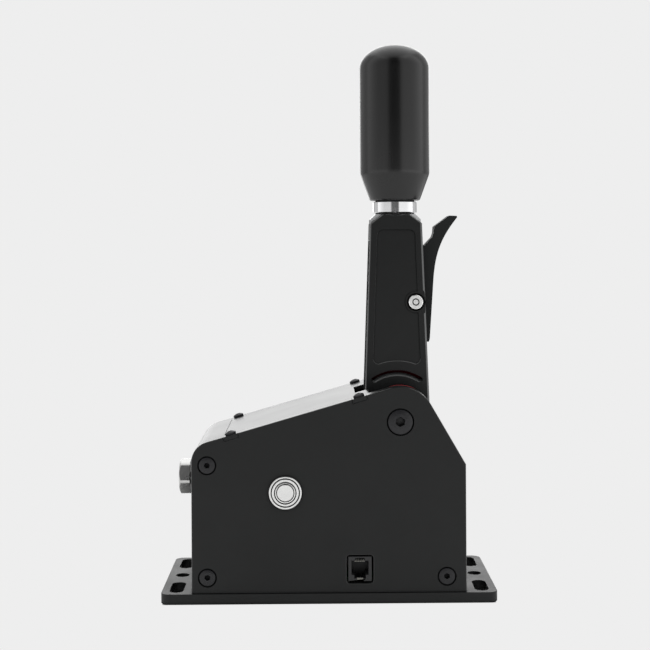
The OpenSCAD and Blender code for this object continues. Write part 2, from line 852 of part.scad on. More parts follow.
module tail_roller() {
    color("#c4c6c9") difference() {
        bar_y(pivot_x, roller_z, roller_d, -roller_half, roller_half);
        bar_y(pivot_x, roller_z, roller_pin_d + 2 * fit, -roller_half - 1, roller_half + 1);
    }
}
module roller_pin() {
    color("#9a9da1") bar_y(pivot_x, roller_z, roller_pin_d, -cheek_in, cheek_in);
}
module lever_magnet() {
    color("#b0b2b6") bar_y(pivot_x, magnet_z, magnet_d, cheek_in - magnet_t, cheek_in);
}

// The trigger's back is one smooth curve from the tip to the pin's height
function bezier(a, b, c, d, t) =
    a * pow(1 - t, 3) + b * 3 * t * pow(1 - t, 2) + c * 3 * t * t * (1 - t) + d * pow(t, 3);
module trigger() {
    steps = 14;
    back_top = [tip_x + 0.2, tip_z - 0.9];
    back_low = [pin_x + 11, pin_z + 10.9];
    back = [for (i = [0 : steps])
        bezier(back_top, back_top + [-10.7, -13.3], back_low + [1.1, 17], back_low, i / steps)];
    foot = [[8.8, -22.6], [8.2, -24.3], [4.6, -24.3], [1.8, -14]];
    hub = arc([0, 0], trigger_hub_r, 212, 95, steps);
    finger = [[trigger_face_x - pin_x, 6.4], [trigger_face_x - pin_x, 28.7], [2.6, 31],
        [5.9, 33.7], [10.7, 38.8], [11.6, 41.4], [11.9, 45.1]];
    front = [for (p = concat(foot, hub, finger)) [pin_x, pin_z] + p];
    tip = [[tip_x - 4.6, tip_z + 0.2], [tip_x, tip_z]];
    color("#2c2d2f") difference() {
        upright(-trigger_half, trigger_half) polygon(concat(back, front, tip));
        bar_y(pin_x, pin_z, pin_d + 2 * run, -trigger_half - 1, trigger_half + 1);
    }
}
module trigger_pin() {
    head_low = -cheek_out - pin_proud;
    color("#d2d4d6") difference() {
        union() {
            bar_y(pin_x, pin_z, pin_d, head_low + 1, cheek_out - 1.2);
            bar_y(pin_x, pin_z, pin_head_d, head_low, head_low + pin_head_t);
        }
        translate([pin_x, head_low - eps, pin_z]) rotate([-90, 0, 0])
            cylinder(h = 1.8, d = 4 / cos(30), $fn = 6);
    }
}
module trigger_washers() {
    color("#c4a35a") for (side = [-1, 1]) difference() {
        bar_y(pin_x, pin_z, 9,
              side > 0 ? trigger_half + 0.02 : -cheek_in, side > 0 ? cheek_in : -trigger_half - 0.02);
        bar_y(pin_x, pin_z, pin_d + 2 * fit, -cheek_out, cheek_out);
    }
}
module trigger_spring() {
    color("#8f9296") difference() {
        bar_x(0, trigger_spring_z, 6, cavity_x - 2, trigger_face_x - face_gap);
        bar_x(0, trigger_spring_z, 4.6, cavity_x - 3, trigger_face_x + 1);
    }
}
module trigger_switch() {
    color("#18181a") difference() {
        translate([cavity_x + eps, -2.9, plunger_z - 4.3]) cube([switch_h - eps, 5.8, 12.8]);
        bar_x(0, plunger_z, 2.2, switch_x1 - 4.2, switch_x1 + 1);
    }
}
module switch_plunger() {
    color("#b03030") bar_x(0, plunger_z, 2, switch_x1 - 2.4, trigger_face_x - 0.3);
}

// The shuttle: a rod with a yoke that takes the tail roller, and its collar
module shuttle() {
    color("#b9bcc0") difference() {
        union() {
            bar_x(0, roller_z, rod_d, collar_x - 5, yoke_x);
            translate([yoke_x - eps, -yoke_half, yoke_low_z])
                cube([yoke_l + eps, 2 * yoke_half, yoke_top_z - yoke_low_z]);
        }
        translate([yoke_x + post_t, -yoke_half - 1, roller_z - roller_d / 2 - 1])
            cube([roller_d + 2 * yoke_gap, 2 * yoke_half + 2, 30]);
    }
}
module shuttle_collar() {
    color("#9a9da1") difference() {
        bar_x(0, roller_z, spring_d + 2, collar_x, collar_x + collar_t);
        bar_x(0, roller_z, rod_d + 2 * fit, collar_x - 1, collar_x + collar_t + 1);
    }
}
module guide_block() {
    color("#8d8f92") difference() {
        translate([guide_x, -guide_half, base_top]) cube([guide_t, 2 * guide_half, guide_top_z - base_top]);
        bar_x(0, roller_z, bush_d + 2 * fit, guide_x - 1, guide_x + guide_t + 1);
        base_screw_holes(guide_screw_at);
    }
}
module guide_screws() {
    color("#2a2a2c") for (p = guide_screw_at)
        under_base(p[0], p[1]) flat_screw(plate_screw_d, plate_head_d, base_screw_l, 3);
}
module guide_bush() {
    color("#b08d4c") difference() {
        bar_x(0, roller_z, bush_d, bush_front_x, guide_x + guide_t);
        bar_x(0, roller_z, rod_d + 2 * run, bush_front_x - 1, guide_x + guide_t + 1);
    }
}
module bump_pad() {
    color("#161616") difference() {
        bar_x(0, roller_z, spring_d, guide_x + guide_t, guide_x + guide_t + pad_t);
        bar_x(0, roller_z, rod_d + 1, guide_x, guide_x + guide_t + pad_t + 1);
    }
}
module coil_tube(x_low) {
    color("#8f9296") difference() {
        bar_x(0, roller_z, spring_d, x_low, x_low + spring_l);
        bar_x(0, roller_z, spring_d - 2 * spring_wire, x_low - 1, x_low + spring_l + 1);
    }
}
module preload_spring() {
    coil_tube(spring_front_x);
}
module return_spring() {
    coil_tube(collar_x + collar_t);
}
module spring_seat() {
    color("#9a9da1") difference() {
        union() {
            bar_x(0, roller_z, spring_d + 2, seat_x, spring_front_x);
            bar_x(0, roller_z, bush_d, spring_front_x - eps, spring_front_x + spigot_l);
        }
        bar_x(0, roller_z, pilot_d + 2 * fit, seat_x - 1, seat_x + pilot_l + 0.4);
    }
}
module adjuster_bolt() {
    head_d = bolt_flats / cos(30);
    color("#cfd1d4") translate([bolt_head_x, 0, roller_z]) rotate([0, 90, 0]) {
        intersection() {
            rotate([0, 0, bolt_turn]) cylinder(h = bolt_head_h, d = head_d, $fn = 6);
            union() {
                cylinder(h = 1, d1 = bolt_flats - 0.6, d2 = head_d);
                translate([0, 0, 1]) cylinder(h = bolt_head_h, d = head_d + 1);
            }
        }
        cylinder(h = bolt_tip_x - bolt_head_x, d = bolt_d);
        cylinder(h = bolt_tip_x - bolt_head_x + pilot_l, d = pilot_d);
    }
}

// Push button: a stepped bezel on a threaded barrel, a sprung cap and a nut
module button_bezel() {
    front = bezel_y;
    color("#d6d7d8") difference() {
        union() {
            bar_y(button_x, button_z, bezel_d, front, -side_out);
            bar_y(button_x, button_z, button_d, front + 0.5, -side_in + 14);
        }
        difference() {
            bar_y(button_x, button_z, bezel_d - 2.2, front - 1, front + 1.2);
            bar_y(button_x, button_z, bezel_d - 3.6, front - 2, front + 2);
        }
        bar_y(button_x, button_z, cap_d + 0.6, front - 1, front + bore_depth);
    }
}
module button_cap() {
    front = bezel_y - cap_proud;
    color("#dcdddd") difference() {
        bar_y(button_x, button_z, cap_d, front, front + cap_l);
        difference() {
            bar_y(button_x, button_z, cap_d - 1.4, front - 1, front + 1.2);
            bar_y(button_x, button_z, cap_d - 2.6, front - 2, front + 2);
        }
    }
}
module button_spring() {
    low = bezel_y - cap_proud + cap_l;
    high = bezel_y + bore_depth;
    color("#8f9296") difference() {
        bar_y(button_x, button_z, 8, low, high);
        bar_y(button_x, button_z, 6.6, low - 1, high + 1);
    }
}
module button_nut() {
    color("#b9bcc0") difference() {
        translate([button_x, -side_in, button_z]) rotate([-90, 0, 0])
            cylinder(h = button_nut_t, d = (button_d + 3) / cos(30), $fn = 6);
        bar_y(button_x, button_z, button_d + 2 * fit, -side_in - 1, -side_in + button_nut_t + 1);
    }
}

// Six-way modular socket on the control board, open towards -Y
module socket_opening() {
    low = jack_z + opening_low;
    half = opening_w / 2;
    translate([jack_x - half, low]) square([opening_w, opening_h]);
    translate([jack_x - 2.6, low + opening_h - eps]) square([5.2, 1.6]);
    translate([jack_x - 3.3, low - 2.1]) square([6.6, 2.2]);
    translate([jack_x - 1.8, low - 3.4]) square([3.6, 1.6]);
}
module jack_body() {
    color("#121213") difference() {
        translate([jack_x - jack_w / 2, jack_y, jack_z]) cube([jack_w, jack_depth, jack_h]);
        upright(jack_y - 1, jack_y + opening_depth) socket_opening();
    }
}
module jack_contacts() {
    pitch = 1.02;
    top = jack_z + opening_low + opening_h;
    color("#c9a24a") for (i = [-2.5 : 1 : 2.5]) translate([jack_x + i * pitch - 0.22, 0, 0]) {
        translate([0, jack_y + 2, top - 0.9]) cube([0.44, opening_depth - 2, 0.4]);
        translate([0, jack_y + opening_depth - 2.4, top - 3]) cube([0.44, 0.4, 2.2]);
    }
}

module control_board() {
    color("#1f5a34") difference() {
        translate([board_x0, board_y0, board_z]) cube([board_x1 - board_x0, board_y1 - board_y0, board_t]);
        for (p = post_at) translate([p[0], p[1], board_z - 1]) cylinder(h = board_t + 2, d = post_hole_d);
    }
}
module board_chips() {
    z = board_z + board_t;
    color("#161617") {
        translate([board_x0 + 10, board_y0 + 3.5, z]) cube([7, 7, 1.2]);
        translate([board_x0 + 46, board_y0 + 4, z]) cube([5, 4, 1.4]);
    }
}
module board_posts() {
    color("#b9bcc0") for (p = post_at) translate([p[0], p[1], base_top]) {
        cylinder(h = post_h, d = post_d);
        cylinder(h = post_h + board_t + 0.3, d = post_screw_d);
        translate([0, 0, post_h + board_t]) cylinder(h = post_head_t, d = post_head_d);
    }
}

// The sensor board stands on posts from the far side plate, facing the magnet in the tail
module sensor_board() {
    color("#1f5a34") difference() {
        translate([pivot_x - sensor_w / 2, sensor_y, sensor_low_z]) cube([sensor_w, board_t, sensor_h]);
        for (p = sensor_post_at) bar_y(p[0], p[1], post_hole_d, sensor_y - 1, sensor_y + board_t + 1);
    }
}
module sensor_posts() {
    color("#b9bcc0") for (p = sensor_post_at) {
        bar_y(p[0], p[1], post_d, sensor_y + board_t, side_in);
        bar_y(p[0], p[1], post_screw_d, sensor_y - 1, sensor_y + board_t + 1);
        bar_y(p[0], p[1], post_head_d, sensor_y - post_head_t, sensor_y);
    }
}
module sensor_chip() {
    color("#161617") translate([pivot_x - chip_w / 2, sensor_y - chip_t, magnet_z - chip_w / 2])
        cube([chip_w, chip_t, chip_w]);
}

base_plate();
base_screws();
front_base_bar();
rear_base_bar();
near_side_plate();
far_side_plate();
near_plate_screws();
far_plate_screws();
top_cover();
cover_screws();
front_cover();
front_cover_screws();
rear_panel();
rear_panel_screws();
front_block();
pivot_shaft();
pivot_screws();
pivot_spacers();
pivot_bearings();
lever_core();
lever_spine();
near_cheek();
far_cheek();
cheek_screws();
neck_block();
knob_stud();
lock_ring();
ring_washers();
knob();
tail_roller();
roller_pin();
lever_magnet();
trigger();
trigger_pin();
trigger_washers();
trigger_spring();
trigger_switch();
switch_plunger();
shuttle();
shuttle_collar();
guide_block();
guide_screws();
guide_bush();
bump_pad();
preload_spring();
return_spring();
spring_seat();
adjuster_bolt();
button_bezel();
button_cap();
button_nut();
button_spring();
jack_body();
jack_contacts();
control_board();
board_chips();
board_posts();
sensor_board();
sensor_posts();
sensor_chip();
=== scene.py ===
"""Looks for a sim racing gear shifter: a sprung lever with a cylindrical grip between two side plates."""

import math

import bmesh
import bpy
from mathutils import Matrix, Vector


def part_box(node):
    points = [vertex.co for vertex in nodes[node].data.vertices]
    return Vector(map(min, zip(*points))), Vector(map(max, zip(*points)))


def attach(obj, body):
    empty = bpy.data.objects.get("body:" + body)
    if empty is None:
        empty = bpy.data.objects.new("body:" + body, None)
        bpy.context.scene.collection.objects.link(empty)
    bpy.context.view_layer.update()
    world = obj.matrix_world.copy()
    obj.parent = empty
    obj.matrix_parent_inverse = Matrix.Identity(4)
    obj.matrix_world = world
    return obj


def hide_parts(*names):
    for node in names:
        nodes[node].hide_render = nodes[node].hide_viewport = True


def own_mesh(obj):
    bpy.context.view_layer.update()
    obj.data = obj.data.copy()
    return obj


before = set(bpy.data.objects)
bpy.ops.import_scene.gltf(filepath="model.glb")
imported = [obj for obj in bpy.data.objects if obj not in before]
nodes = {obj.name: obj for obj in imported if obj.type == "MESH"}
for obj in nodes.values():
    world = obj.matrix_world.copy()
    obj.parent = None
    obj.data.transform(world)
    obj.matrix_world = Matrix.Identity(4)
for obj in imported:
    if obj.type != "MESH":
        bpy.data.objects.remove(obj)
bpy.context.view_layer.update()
scene = bpy.context.scene
scene.view_settings.view_transform = "Standard"
MM = 0.001

# Camera
# It stands 0.75 m from the object's middle, level, a little below the top of the lever's cheeks,
# with the lens shifted down so that the upright edges stay parallel.
camera_at = Vector((-0.0067, -0.75011, 0.20589))
camera_yaw = math.radians(0.426)
camera_roll = math.radians(0.316)
ahead = Vector((math.sin(camera_yaw), math.cos(camera_yaw), 0))
level = Vector((math.cos(camera_yaw), -math.sin(camera_yaw), 0))
upright = Vector((0, 0, 1))
image_x = level * math.cos(camera_roll) - upright * math.sin(camera_roll)
image_y = level * math.sin(camera_roll) + upright * math.cos(camera_roll)
camera = bpy.data.objects.new("camera", bpy.data.cameras.new("camera"))
camera_turn = Matrix((image_x, image_y, -ahead)).transposed().to_4x4()
camera.matrix_world = Matrix.Translation(camera_at) @ camera_turn
camera.data.sensor_width = 36
camera.data.lens = 68.38
camera.data.shift_y = -0.1237
camera.data.clip_start = 0.01
scene.collection.objects.link(camera)
scene.camera = camera

# Studio
# A white table lit by softboxes: two tall ones left and right of the camera, with a dark gap between
# them, one above and one behind, and a bright wall far behind, so that level faces shine at a low
# angle. As in a cut-out picture, the table's shadow shows only through the base plate's holes.


def linear(colour):
    """A #rrggbb sRGB colour as the linear RGBA that Blender's sockets take."""
    parts = [int(colour[i : i + 2], 16) / 255 for i in (1, 3, 5)]
    return [c / 12.92 if c <= 0.04045 else ((c + 0.055) / 1.055) ** 2.4 for c in parts] + [1]


def add(tree, kind, inputs=None, **settings):
    """Adds a node with its settings, and sets or links the inputs that are named."""
    made = tree.nodes.new(kind)
    for name, value in settings.items():
        setattr(made, name, value)
    for name, value in (inputs or {}).items():
        if isinstance(value, bpy.types.NodeSocket):
            tree.links.new(value, made.inputs[name])
        else:
            made.inputs[name].default_value = value
    return made


paper = linear("#eeeeee")
world = bpy.data.worlds.new("white_sweep")
scene.world = world
world.use_nodes = True
sky = world.node_tree
sky.nodes.clear()
rays = add(sky, "ShaderNodeLightPath")
direction = add(sky, "ShaderNodeSeparateXYZ", {0: add(sky, "ShaderNodeTexCoord").outputs["Generated"]})
around = add(sky, "ShaderNodeMapRange", {"Value": direction.outputs["Y"], "From Min": -1.0})
walls = add(sky, "ShaderNodeValToRGB", {"Fac": around.outputs[0]})
table = add(sky, "ShaderNodeValToRGB", {"Fac": around.outputs[0]})
front_ends, side_begins, side_ends = 0.25, 0.55, 0.85
for shades, front, side, back in ((walls, 0.02, 0.72, 0.3), (table, 0.95, 0.6, 0.25)):
    stops = shades.color_ramp.elements
    stops[0].position = front_ends
    stops[0].color = (front, front, front, 1)
    stops[1].color = (back, back, back, 1)
    stops.new(side_begins).color = (side, side, side, 1)
    stops.new(side_ends).color = (side, side, side, 1)
above = add(
    sky, "ShaderNodeMapRange", {"Value": direction.outputs["Z"], "From Min": -0.02, "From Max": 0.02}
)
room = add(
    sky,
    "ShaderNodeMix",
    {"Factor": above.outputs[0], "A": table.outputs["Color"], "B": walls.outputs["Color"]},
    data_type="FLOAT",
)
ahead_part = add(
    sky, "ShaderNodeMapRange", {"Value": direction.outputs["Y"], "From Min": 0.88, "From Max": 0.95}
)
leftward = add(sky, "ShaderNodeMath", {0: direction.outputs["X"], 1: -0.5}, operation="MULTIPLY")
raised = add(
    sky, "ShaderNodeMath", {0: direction.outputs["Z"], 1: leftward.outputs[0]}, operation="MAXIMUM"
)
raised_part = add(
    sky, "ShaderNodeMapRange", {"Value": raised.outputs[0], "From Min": 0.03, "From Max": 0.09}
)
far_wall = add(
    sky, "ShaderNodeMath", {0: ahead_part.outputs[0], 1: raised_part.outputs[0]}, operation="MULTIPLY"
)
far_wall_light, fill_light = 2.6, 0.75
mirrored = add(
    sky,
    "ShaderNodeMath",
    {0: far_wall.outputs[0], 1: far_wall_light, 2: room.outputs[0]},
    operation="MULTIPLY_ADD",
)
glossy = add(
    sky,
    "ShaderNodeMix",
    {"Factor": rays.outputs["Is Glossy Ray"], "A": fill_light, "B": mirrored.outputs[0]},
    data_type="FLOAT",
)
seen = add(
    sky,
    "ShaderNodeMath",
    {0: rays.outputs["Is Camera Ray"], 1: rays.outputs["Is Transmission Ray"]},
    operation="MAXIMUM",
)
strength = add(
    sky, "ShaderNodeMix", {"Factor": seen.outputs[0], "A": glossy.outputs[0], "B": 1.0}, data_type="FLOAT"
)
sweep = add(sky, "ShaderNodeBackground", {"Color": paper, "Strength": strength.outputs[0]})
add(sky, "ShaderNodeOutputWorld", {"Surface": sweep.outputs[0]})


def softbox(name, at, aim, width, height, radiance):
    """A rectangular lamp whose face has the given radiance, hidden from the camera."""
    lamp = bpy.data.lights.new(name, "AREA")
    lamp.shape = "RECTANGLE"
    lamp.size = width
    lamp.size_y = height
    lamp.energy = math.pi * radiance * width * height
    holder = bpy.data.objects.new(name, lamp)
    holder.matrix_world = Matrix.Translation(at) @ (aim - at).to_track_quat("-Z", "Y").to_matrix().to_4x4()
    holder.visible_camera = False
    scene.collection.objects.link(holder)


waist = Vector((0, 0, 0.16))
for name, side, radiance in (("left_softbox", -1, 0.6), ("right_softbox", 1, 0.9)):
    softbox(name, Vector((side * 0.76, -0.35, 0.9)), Vector((0, 0.14, 0.9)), 1.5, 1.8, radiance)
softbox("top_softbox", Vector((0, 0.1, 1.9)), waist, 2.2, 2.2, 0.75)
softbox("rear_softbox", Vector((0, 1.25, 1.2)), waist, 1.2, 1.0, 0.8)

floor_mesh = bpy.data.meshes.new("floor")
floor_build = bmesh.new()
bmesh.ops.create_circle(floor_build, cap_ends=True, segments=96, radius=1.6)
floor_build.to_mesh(floor_mesh)
floor_build.free()
floor = bpy.data.objects.new("floor", floor_mesh)
scene.collection.objects.link(floor)
floor.location.z = -0.0005
floor.visible_camera = False
painted = bpy.data.materials.new("painted_white_floor")
painted.use_nodes = True
painted.node_tree.nodes["Principled BSDF"].inputs["Base Color"].default_value = paper
painted.node_tree.nodes["Principled BSDF"].inputs["Roughness"].default_value = 0.7
floor_mesh.materials.append(painted)
under_mesh = bpy.data.meshes.new("floor_under_base")
plate_share = 0.99
half_l, half_w = (plate_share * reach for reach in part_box("base_plate")[1][:2])
corners = [(x, y, 0) for x in (-half_l, half_l) for y in (-half_w, half_w)]
under_mesh.from_pydata(corners, [], [(0, 2, 3, 1)])
under = bpy.data.objects.new("floor_under_base", under_mesh)
scene.collection.objects.link(under)
under.location.z = -0.0003
under.is_shadow_catcher = True
under_mesh.materials.append(painted)

# Base plate
# A 5.8 mm aluminium plate with rounded corners, milled slots and holes for the rig's bolts. It is
# bead blasted and black anodised: the dye drinks the light, the clear oxide skin shines.


def surface(name, colour, metallic, roughness, ior=1.5):
    """A new material with its constants set on the shader. Returns it, its tree and the shader."""
    made = bpy.data.materials.new(name)
    made.use_nodes = True
    shader = made.node_tree.nodes["Principled BSDF"]
    shader.inputs["Base Color"].default_value = linear(colour)
    shader.inputs["Metallic"].default_value = metallic
    shader.inputs["Roughness"].default_value = roughness
    if not metallic:
        shader.inputs["IOR"].default_value = ior
    return made, made.node_tree, shader


def painted_hollow_shade(tree, shader, distance):
    """Painted shade: turns a surface's reflection down where ambient occlusion finds it in a hollow."""
    hollow_shade_ao = add(tree, "ShaderNodeAmbientOcclusion", {"Distance": distance * MM}, samples=8)
    level = add(
        tree,
        "ShaderNodeMapRange",
        {"Value": hollow_shade_ao.outputs["AO"], "From Min": 0.45, "From Max": 0.95, "To Max": 0.5},
    )
    tree.links.new(level.outputs["Result"], shader.inputs["Specular IOR Level"])


def grain(tree, shader, size, depth, rough=None, tints=None, stretch=(1, 1, 1)):
    """A fine noise in real millimetres: it dents the surface, and may vary roughness and colour."""
    place = add(tree, "ShaderNodeTexCoord").outputs["Object"]
    drawn = add(tree, "ShaderNodeMapping", {"Vector": place, "Scale": stretch})
    noise = add(
        tree,
        "ShaderNodeTexNoise",
        {"Vector": drawn.outputs[0], "Scale": 1 / (size * MM), "Detail": 3.0, "Roughness": 0.6},
    )
    dent = add(
        tree,
        "ShaderNodeBump",
        {"Height": noise.outputs["Fac"], "Distance": depth * MM, "Strength": 1.0},
    )
    tree.links.new(dent.outputs[0], shader.inputs["Normal"])
    cloud = add(tree, "ShaderNodeTexNoise", {"Vector": place, "Scale": 45.0, "Detail": 2.0})
    if rough:
        spread = add(
            tree,
            "ShaderNodeMapRange",
            {"Value": cloud.outputs["Fac"], "From Min": 0.3, "From Max": 0.7},
        )
        spread.inputs["To Min"].default_value = rough[0]
        spread.inputs["To Max"].default_value = rough[1]
        tree.links.new(spread.outputs["Result"], shader.inputs["Roughness"])
    if tints:
        shade = add(
            tree,
            "ShaderNodeMix",
            {"Factor": noise.outputs["Fac"], "A": linear(tints[0]), "B": linear(tints[1])},
            data_type="RGBA",
        )
        tree.links.new(shade.outputs["Result"], shader.inputs["Base Color"])


def in_place(name, mesh):
    """A linked object for a mesh whose points already are where they belong."""
    made = bpy.data.objects.new(name, mesh)
    scene.collection.objects.link(made)
    return made


def shade(mesh, angle=25):
    """Smooth faces, sharp where two of them meet at more than the angle."""
    mesh.shade_smooth()
    mesh.set_sharp_from_angle(angle=math.radians(angle))


flat_angle, edge_angle = math.radians(0.6), math.radians(35)


def broken_edges(node, passes, segments=2, clamp=True, cuts=()):
    """A copy of a CAD node with flat faces whole again and its edges chamfered.
    Each pass is a width in millimetres, a test on an edge's middle, in millimetres, and a slot.
    Edges are cut in two at the heights in cuts, so that a pass can take a part of one."""
    build = bmesh.new()
    build.from_mesh(nodes[node].data)
    bmesh.ops.remove_doubles(build, verts=build.verts, dist=2e-6)
    bmesh.ops.dissolve_limit(build, angle_limit=flat_angle, verts=build.verts, edges=build.edges)
    for height in cuts:
        everything = build.verts[:] + build.edges[:] + build.faces[:]
        bmesh.ops.bisect_plane(build, geom=everything, plane_co=(0, 0, height * MM), plane_no=(0, 0, 1))
    for width, test, slot in passes:
        edges = []
        for edge in build.edges:
            middle = (edge.verts[0].co + edge.verts[1].co) / 2 / MM
            if len(edge.link_faces) == 2 and edge.calc_face_angle() > edge_angle and test(middle):
                edges.append(edge)
        bmesh.ops.bevel(
            build,
            geom=edges,
            offset=width * MM,
            offset_type="OFFSET",
            segments=segments,
            profile=0.5,
            affect="EDGES",
            clamp_overlap=clamp,
            loop_slide=False,
            material=slot,
        )
    mesh = bpy.data.meshes.new(node + "_finished")
    build.to_mesh(mesh)
    build.free()
    shade(mesh)
    piece = in_place(node + "_finished", mesh)
    normals = piece.modifiers.new("face_normals", "WEIGHTED_NORMAL")
    normals.keep_sharp = True
    return piece


def refinish(piece, finish, chosen):
    """Appends a finish and gives it to the faces whose normal and centre pass the test."""
    piece.data.materials.append(finish)
    for face in piece.data.polygons:
        if chosen(face.normal, face.center / MM):
            face.material_index = len(piece.data.materials) - 1


def fit(piece, body, slot, finish, *replaced):
    """Gives a piece its finish if it has none and its body, and hides the CAD nodes that it stands for.
    The slot is not used.
    """
    if not piece.data.materials:
        piece.data.materials.append(finish)
    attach(piece, body)
    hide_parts(*replaced)


def anywhere(middle):
    """True on every edge."""
    return True


# Bead blasting is 0.1 mm fine; it is drawn at 0.35 mm to show at all.
black_plate, tree, shader = surface("black_anodised_blasted_aluminium", "#131414", 0, 0.42, 1.36)
grain(tree, shader, 0.35, 0.012, (0.38, 0.47), ("#111212", "#181919"))
# Painted shade: the plate's reflection is turned down in its holes, slots and countersinks.
painted_hollow_shade(tree, shader, 2.5)
fit(broken_edges("base_plate", [(0.5, anywhere, 0)]), "housing", "black_plate", black_plate, "base_plate")

# Side plates
# Two 8 mm plates cut to one outline, rebated inside for the covers. The faces have the base
# plate's finish; the milled edges are smoother and shine, with a half-millimetre chamfer outside.
side_out = 41
pivot_x, pivot_z = 41.4, 103.6
low_z = 14.85
pivot_well_r, plate_well_r = 9, 6.2
plate_screw_at = ((-70, 79.3), (-70, low_z), (67.7, low_z))


def off_wells(middle):
    """True at a point that isn't part of a screw's well."""
    if math.hypot(middle.x - pivot_x, middle.z - pivot_z) < pivot_well_r:
        return False
    return all(math.hypot(middle.x - x, middle.z - z) > plate_well_r for x, z in plate_screw_at)


def outer_edge(middle):
    """True on an edge of a plate's outer face, but for the wells."""
    return abs(middle.y) > side_out - 0.1 and off_wells(middle)


milled_edge, tree, shader = surface("black_anodised_milled_edge", "#171818", 0, 0.3, 1.5)
grain(tree, shader, 0.3, 0.003, (0.28, 0.32))
for plate in ("near_side_plate", "far_side_plate"):
    piece = broken_edges(plate, [(0.5, outer_edge, 1)])
    fit(piece, "housing", "black_plate", black_plate, plate)
    refinish(piece, milled_edge, lambda normal, centre: abs(normal.y) < 0.5 and off_wells(centre))

# Covers
# The top cover, the bent front cover and the rear panel are sheet, black anodised over a finer
# blast, so they mirror the sweep behind them more clearly than the plates do.
black_cover, tree, shader = surface("black_anodised_sheet_aluminium", "#161717", 0, 0.3, 1.45)
grain(tree, shader, 0.3, 0.003, (0.29, 0.31), ("#131414", "#191a1a"))
for cover in ("top_cover", "front_cover", "rear_panel"):
    piece = broken_edges(cover, [])
    fit(piece, "housing", "black_cover", black_cover, cover)
    refinish(piece, black_plate, lambda normal, centre: abs(normal.y) > 0.5)

# Carcass
# Cross bars, bolt block, guide block, spacers and board posts are milled from plain bar and left
# as they come from the cutter: pale metal with fine tool lines along X.


def coat(finish, *names):
    """Puts a finish on CAD nodes that keep their own meshes."""
    for name in names:
        nodes[name].material_slots[0].material = finish


milled, tree, shader = surface("milled_aluminium", "#b4b6b8", 1, 0.36)
grain(tree, shader, 0.6, 0.01, (0.3, 0.42), ("#adafb1", "#bbbdbf"), (0.05, 1, 1))
coat(milled, "front_base_bar", "rear_base_bar", "front_block", "guide_block", "pivot_spacers")
coat(milled, "shuttle_collar", "spring_seat", "board_posts", "sensor_posts")

# Countersunk screws
# Hexagon socket screws, cold headed in steel and blackened in an oxide bath. The oil in the black
# gives a dull shine; each sits a little below the plate, in a wider countersink.


def hexagon(flats):
    """The radius of a hexagon at an angle, from the distance across its flats in millimetres."""
    return lambda angle: flats / 2 / math.cos((angle + math.pi / 6) % (math.pi / 3) - math.pi / 6)


def loft(name, rings, count=48):
    """A closed skin through rings along +Z. A ring is a height and a radius, both in millimetres,
    and the radius may be a function of the angle. A radius of 0 closes an end in one point."""
    build = bmesh.new()
    rows = []
    for height, radius in rings:
        if radius == 0:
            rows.append([build.verts.new((0, 0, height * MM))])
            continue
        row = []
        for i in range(count):
            angle = math.tau * i / count
            reach = radius(angle) if callable(radius) else radius
            point = Vector((reach * math.cos(angle), reach * math.sin(angle), height)) * MM
            row.append(build.verts.new(point))
        rows.append(row)
    for low, high in zip(rows, rows[1:]):
        for i in range(count):
            j = (i + 1) % count
            if len(low) == 1:
                build.faces.new((low[0], high[j], high[i]))
            elif len(high) == 1:
                build.faces.new((low[i], low[j], high[0]))
            else:
                build.faces.new((low[i], low[j], high[j], high[i]))
    if len(rows[0]) > 1:
        for i in range(count):
            j = (i + 1) % count
            build.faces.new((rows[-1][i], rows[-1][j], rows[0][j], rows[0][i]))
    bmesh.ops.recalc_face_normals(build, faces=build.faces)
    mesh = bpy.data.meshes.new(name)
    build.to_mesh(mesh)
    build.free()
    shade(mesh)
    return mesh


def flat_screw(thread, head, length, key):
    """A countersunk screw whose head lies at the origin and whose shank goes along +Z."""
    sink = (head - thread) / 2
    deep = 1.3 * sink
    return loft(
        "flat_screw",
        [
            (deep + 0.5, 0),
            (deep, hexagon(key)),
            (0.2, hexagon(key)),
            (0, hexagon(key + 0.4)),
            (0, head / 2 - 0.3),
            (0.08, head / 2 - 0.1),
            (0.3, head / 2),
            (sink, thread / 2),
            (length - 0.5, thread / 2),
            (length, thread / 2 - 0.5),
            (length, 0),
        ],
    )


screw_set = bpy.data.node_groups.new("screw_set", "GeometryNodeTree")
for label, kind in (
    ("Places", "NodeSocketGeometry"),
    ("Screw", "NodeSocketObject"),
    ("Turn seed", "NodeSocketInt"),
    ("Finish", "NodeSocketMaterial"),
):
    screw_set.interface.new_socket(label, in_out="INPUT", socket_type=kind)
screw_set.interface.new_socket("Screws", in_out="OUTPUT", socket_type="NodeSocketGeometry")
given = add(screw_set, "NodeGroupInput").outputs
chosen = add(screw_set, "GeometryNodeObjectInfo", {"Object": given["Screw"]})
axis = add(screw_set, "GeometryNodeInputNamedAttribute", {"Name": "axis"}, data_type="FLOAT_VECTOR")
aimed = add(screw_set, "FunctionNodeAlignRotationToVector", {"Vector": axis.outputs[0]}, axis="Z")
spin = add(screw_set, "FunctionNodeRandomValue", {"Seed": given["Turn seed"]}, data_type="FLOAT")
spin.inputs[2].default_value = 0
spin.inputs[3].default_value = math.tau
spin_vector = add(screw_set, "ShaderNodeCombineXYZ", {"Z": spin.outputs[1]})
spin_turn = add(screw_set, "FunctionNodeEulerToRotation", {"Euler": spin_vector.outputs[0]})
turned_in = add(
    screw_set,
    "FunctionNodeRotateRotation",
    {"Rotation": aimed.outputs[0], "Rotate By": spin_turn.outputs[0]},
    rotation_space="LOCAL",
)
placed = add(
    screw_set,
    "GeometryNodeInstanceOnPoints",
    {"Points": given["Places"], "Instance": chosen.outputs["Geometry"], "Rotation": turned_in.outputs[0]},
)
whole = add(screw_set, "GeometryNodeRealizeInstances", {"Geometry": placed.outputs[0]})
finished = add(
    screw_set, "GeometryNodeSetMaterial", {"Geometry": whole.outputs[0], "Material": given["Finish"]}
)
add(screw_set, "NodeGroupOutput", {"Screws": finished.outputs[0]})


